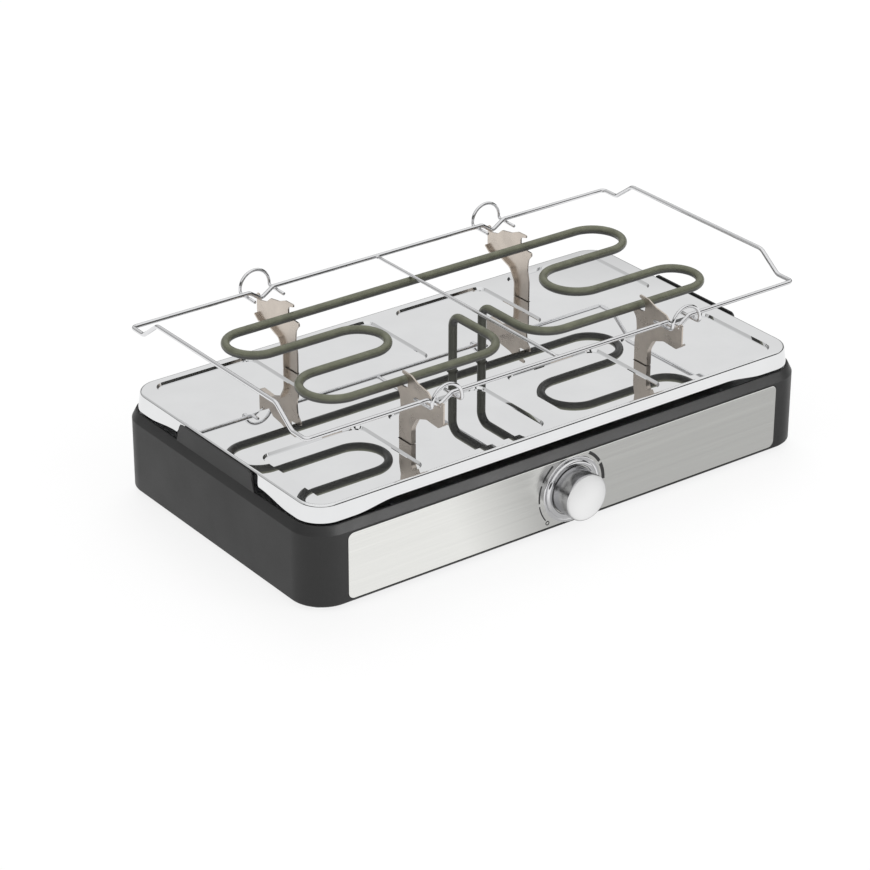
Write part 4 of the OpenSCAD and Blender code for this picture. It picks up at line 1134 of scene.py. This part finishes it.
def bracket_outline():
    """Outlines of a bracket's plate and folded lip: way out from the middle line, and height."""
    rise = TUBE_Z + TUBE_D / 2 + 4.9 * MM - DECK_Z
    notch_z = RACK_Z - DIP_H - WIRE_D / 2 - 0.3 * MM
    stop_y = RACK_Y + WIRE_D / 2 + 0.3 * MM
    nose_y = STRIP_EDGE + HEAD_REACH
    outer_y = STRIP_EDGE + STRIP_W

    def on_plate(share, height):
        return Vector((STRIP_EDGE + share * HEAD_REACH, DECK_Z + height * rise))

    def on_hook(across, up):
        return Vector((OUTER_RUN + across * TUBE_D, TUBE_Z + up * TUBE_D))

    # Each corner has its radius, as a share of the tube's diameter.
    corners = [(Vector((STRIP_EDGE, FLOOR_TOP)), 0)]
    corners += [(on_plate(*s), r) for s, r in (
        ((0, 0.3), 1.8), ((0.04, 0.48), 1.8), ((0.02, 0.65), 1.2))]
    corners += [(on_hook(*s), r) for s, r in (
        ((-0.95, -1), 0.15), ((-0.95, -0.6), 0.15), ((0.1, -0.54), 0.09), ((1.12, -0.5), 0.38),
        ((1.12, 0.75), 0.46), ((0.1, 1), 0.06), ((0.1, 1.3), 0.1))]
    corners += [(Vector((on_hook(s, 0).x, on_plate(0, t).y)), r)
                for s, t, r in ((1.65, 1, 0.38), (2.93, 0.935, 0.6), (4.69, 0.9, 0.23))]
    corners += [
        (Vector((RACK_Y - 7.5 * MM, notch_z + 2 * MM)), 0.23), (Vector((stop_y, notch_z)), 0.12),
        (Vector((stop_y + 0.3 * MM, notch_z + 4.8 * MM)), 0.08),
        (Vector((nose_y, notch_z + 4.8 * MM)), 0.15)]
    corners += [(on_plate(*s), r) for s, r in (
        ((1, 0.56), 0.6), ((0.89, 0.48), 0.6), ((0.62, 0.5), 1.2), ((0.39, 0.42), 0.9))]
    corners += [(on_plate(STRIP_W / HEAD_REACH, 0.24), 1.5), (Vector((outer_y, FLOOR_TOP)), 0)]
    plate = rounded([p for p, r in corners], [r * TUBE_D for p, r in corners], 8)
    edge = corners[-6:-1] + [(Vector((outer_y, DECK_Z + 0.3 * MM)), 0)]
    lip = rounded([p for p, r in edge], [0] + [r * TUBE_D for p, r in edge[1:]], 8, closed=False)
    outer, inner = [], []
    for i, p in enumerate(lip):
        way = (lip[min(i + 1, len(lip) - 1)] - lip[max(i - 1, 0)]).normalized()
        side = Vector((way.y, -way.x))
        outer.append(p - side * 0.04 * MM)
        inner.append(p + side * 1.2 * MM)
    return plate, outer + inner[::-1]


class RACLETTE_OT_brackets(bpy.types.Operator):
    """Four stamped brackets with softened edges, a folded lip and a twisted foot"""

    bl_idname = "raclette.brackets"
    bl_label = "Brackets"

    def execute(self, context):
        half_t, foot_half = 0.6 * MM, 3.5 * MM
        middle = Y * (-STRIP_EDGE - STRIP_W / 2)
        swing = Matrix.Rotation(math.radians(35), 3, "Z")
        plate, lip = ([Vector((0, -p.x, p.y)) for p in line] for line in bracket_outline())
        strip = [Vector((px * half_t, py * foot_half, 0)) for px, py in SQUARE]
        for name, x, side in BRACKETS:
            bm = bmesh.new()
            prism(bm, plate, X * -half_t, X * half_t)
            prism(bm, lip, X * (-0.35 * MM), X * (3.4 * MM))
            neck = [p + middle for p in strip]
            prism(bm, neck, Z * (SHIELD_FLOOR - 0.6 * MM), Z * (FLOOR_TOP + 0.5 * MM))
            foot = [swing @ p + middle for p in strip]
            prism(bm, foot, Z * (SHIELD_FLOOR - 5 * MM), Z * (SHIELD_FLOOR - 0.3 * MM))
            soften(bm, 50, sizes().stamped_edge, 2)
            turn = Matrix.Rotation(0 if side == 1 else math.pi, 4, "Z")
            move = Matrix.Translation((x * BRACKET_X, MID_Y, 0))
            bmesh.ops.transform(bm, matrix=move @ turn, verts=bm.verts)
            make(f"bracket_plate_{name}", bm, "bracket_steel", "base", f"bracket_{name}", sharp=50)
        return {"FINISHED"}


# Rack

def rack_line():
    """Corners and bend radii of the rack's closed outer wire."""
    dip = 10.5 * MM
    x, y, z = RACK_X, RACK_Y, RACK_Z
    flat, slope, rise = 16 * MM, 19 * MM, 14 * MM
    half = [(middle + shift, -y, z - low) for middle in (-BRACKET_X, BRACKET_X)
            for shift, low in ((-dip, 0), (0, DIP_H), (dip, 0))]
    half += [
        (x, -y, z), (x, -y + flat, z), (x, -y + flat + slope, z + rise),
        (x, y - flat - slope, z + rise), (x, y - flat, z), (x, y, z)]
    bends = [4 * MM] * 6 + [3.5 * MM] + [8 * MM] * 4 + [3.5 * MM]
    points = [Vector(p) for p in half] + [Vector((-px, -py, pz)) for px, py, pz in half]
    return [p + Y * MID_Y for p in points], bends + bends


def loop_line(side, x):
    """Corners and bend radii of one finger loop."""
    low = RACK_Z - WIRE_D / 2 - THIN_D / 2 + 0.25 * MM
    r, foot = 12.8 * MM, 2.6 * MM
    high = low + foot + r
    inner, outer = -RACK_Y + 11 * MM, -RACK_Y - 8.8 * MM
    corners = [(-r, inner, low), (-r, outer, low), (-r, outer, high),
               (r, outer, high), (r, outer, low), (r, inner, low)]
    points = [Vector((x * BRACKET_X + side * px, MID_Y + side * py, pz)) for px, py, pz in corners]
    return points, [0, foot, r, r, foot, 0]


class RACLETTE_OT_rack(bpy.types.Operator):
    """Chrome rack: outer wire, cross wire, four finger loops and the weld beads"""

    bl_idname = "raclette.rack"
    bl_label = "Rack"

    def execute(self, context):
        make_wire("rack_outer_wire", rack_line(), WIRE_D, 24, "rack_chrome", "rack", "rack_frame",
                  closed=True)
        reach = RACK_Y - WIRE_D / 2 + 0.25 * MM
        ends = [Vector((CROSS_X, MID_Y + s * reach, RACK_Z)) for s in (-1, 1)]
        make_wire("rack_middle_wire", (ends, [0, 0]), THIN_D, 20,
                  "rack_chrome", "rack", "rack_cross_wire")
        size = sizes().weld_size
        bm = bmesh.new()
        for s in (-1, 1):
            bead(bm, Vector((CROSS_X, MID_Y + s * (reach - 0.6 * MM), RACK_Z)), size, X)
        for name, x, side in BRACKETS:
            line = loop_line(side, x)
            make_wire(f"rack_loop_{name}", line, THIN_D, 20,
                      "rack_chrome", "rack", f"loop_{name}", steps=16)
            for end in (line[0][0], line[0][-1]):
                at = Vector((end.x, MID_Y - side * RACK_Y, RACK_Z - WIRE_D / 2))
                bead(bm, at, size * 0.9, Y)
        make("rack_welds", bm, "rack_chrome", "rack", sharp=80)
        return {"FINISHED"}


# Pieces that keep the solid's own shape

class RACLETTE_OT_inner(bpy.types.Operator):
    """Finishes on the pieces that keep the solid's shape: cover, feet, print, wiring, fastenings"""

    bl_idname = "raclette.inner"
    bl_label = "Other pieces"

    def execute(self, context):
        for part in frame["record"]["subparts"]:
            obj = frame["nodes"][part["node"]]
            if obj.hide_render:
                continue
            made = finish(part["material_slot"])
            if not obj.material_slots:
                raise RuntimeError(f"{obj.name} has no material slot")
            for place in obj.material_slots:
                place.material = made
        return {"FINISHED"}


PIECES = (
    RACLETTE_OT_stage, RACLETTE_OT_housing, RACLETTE_OT_sheen, RACLETTE_OT_front,
    RACLETTE_OT_knob, RACLETTE_OT_tray, RACLETTE_OT_element, RACLETTE_OT_brackets,
    RACLETTE_OT_rack, RACLETTE_OT_inner)


class RACLETTE_PT_sidebar(bpy.types.Panel):
    """Raclette base in the sidebar"""

    bl_idname = "RACLETTE_PT_sidebar"
    bl_label = "Raclette base"
    bl_space_type = "VIEW_3D"
    bl_region_type = "UI"
    bl_category = "Raclette"

    def draw(self, context):
        for group in (context.scene.raclette_sizes, context.scene.raclette_colours):
            column = self.layout.column(align=True)
            for name in group.bl_rna.properties.keys():
                if name not in ("rna_type", "name"):
                    column.prop(group, name)
        column = self.layout.column(align=True)
        for piece in PIECES:
            column.operator(piece.bl_idname)


CLASSES = (RacletteSizes, RacletteColours) + PIECES + (RACLETTE_PT_sidebar,)


def register():
    for cls in CLASSES:
        bpy.utils.register_class(cls)
    bpy.types.Scene.raclette_sizes = bpy.props.PointerProperty(type=RacletteSizes)
    bpy.types.Scene.raclette_colours = bpy.props.PointerProperty(type=RacletteColours)


def unregister():
    del bpy.types.Scene.raclette_colours
    del bpy.types.Scene.raclette_sizes
    for cls in reversed(CLASSES):
        bpy.utils.unregister_class(cls)


def main():
    register()
    bpy.ops.raclette.stage()
    bpy.ops.raclette.housing()
    bpy.ops.raclette.sheen()
    bpy.ops.raclette.front()
    bpy.ops.raclette.knob()
    bpy.ops.raclette.tray()
    bpy.ops.raclette.element()
    bpy.ops.raclette.brackets()
    bpy.ops.raclette.rack()
    bpy.ops.raclette.inner()


if __name__ == "__main__":
    main()
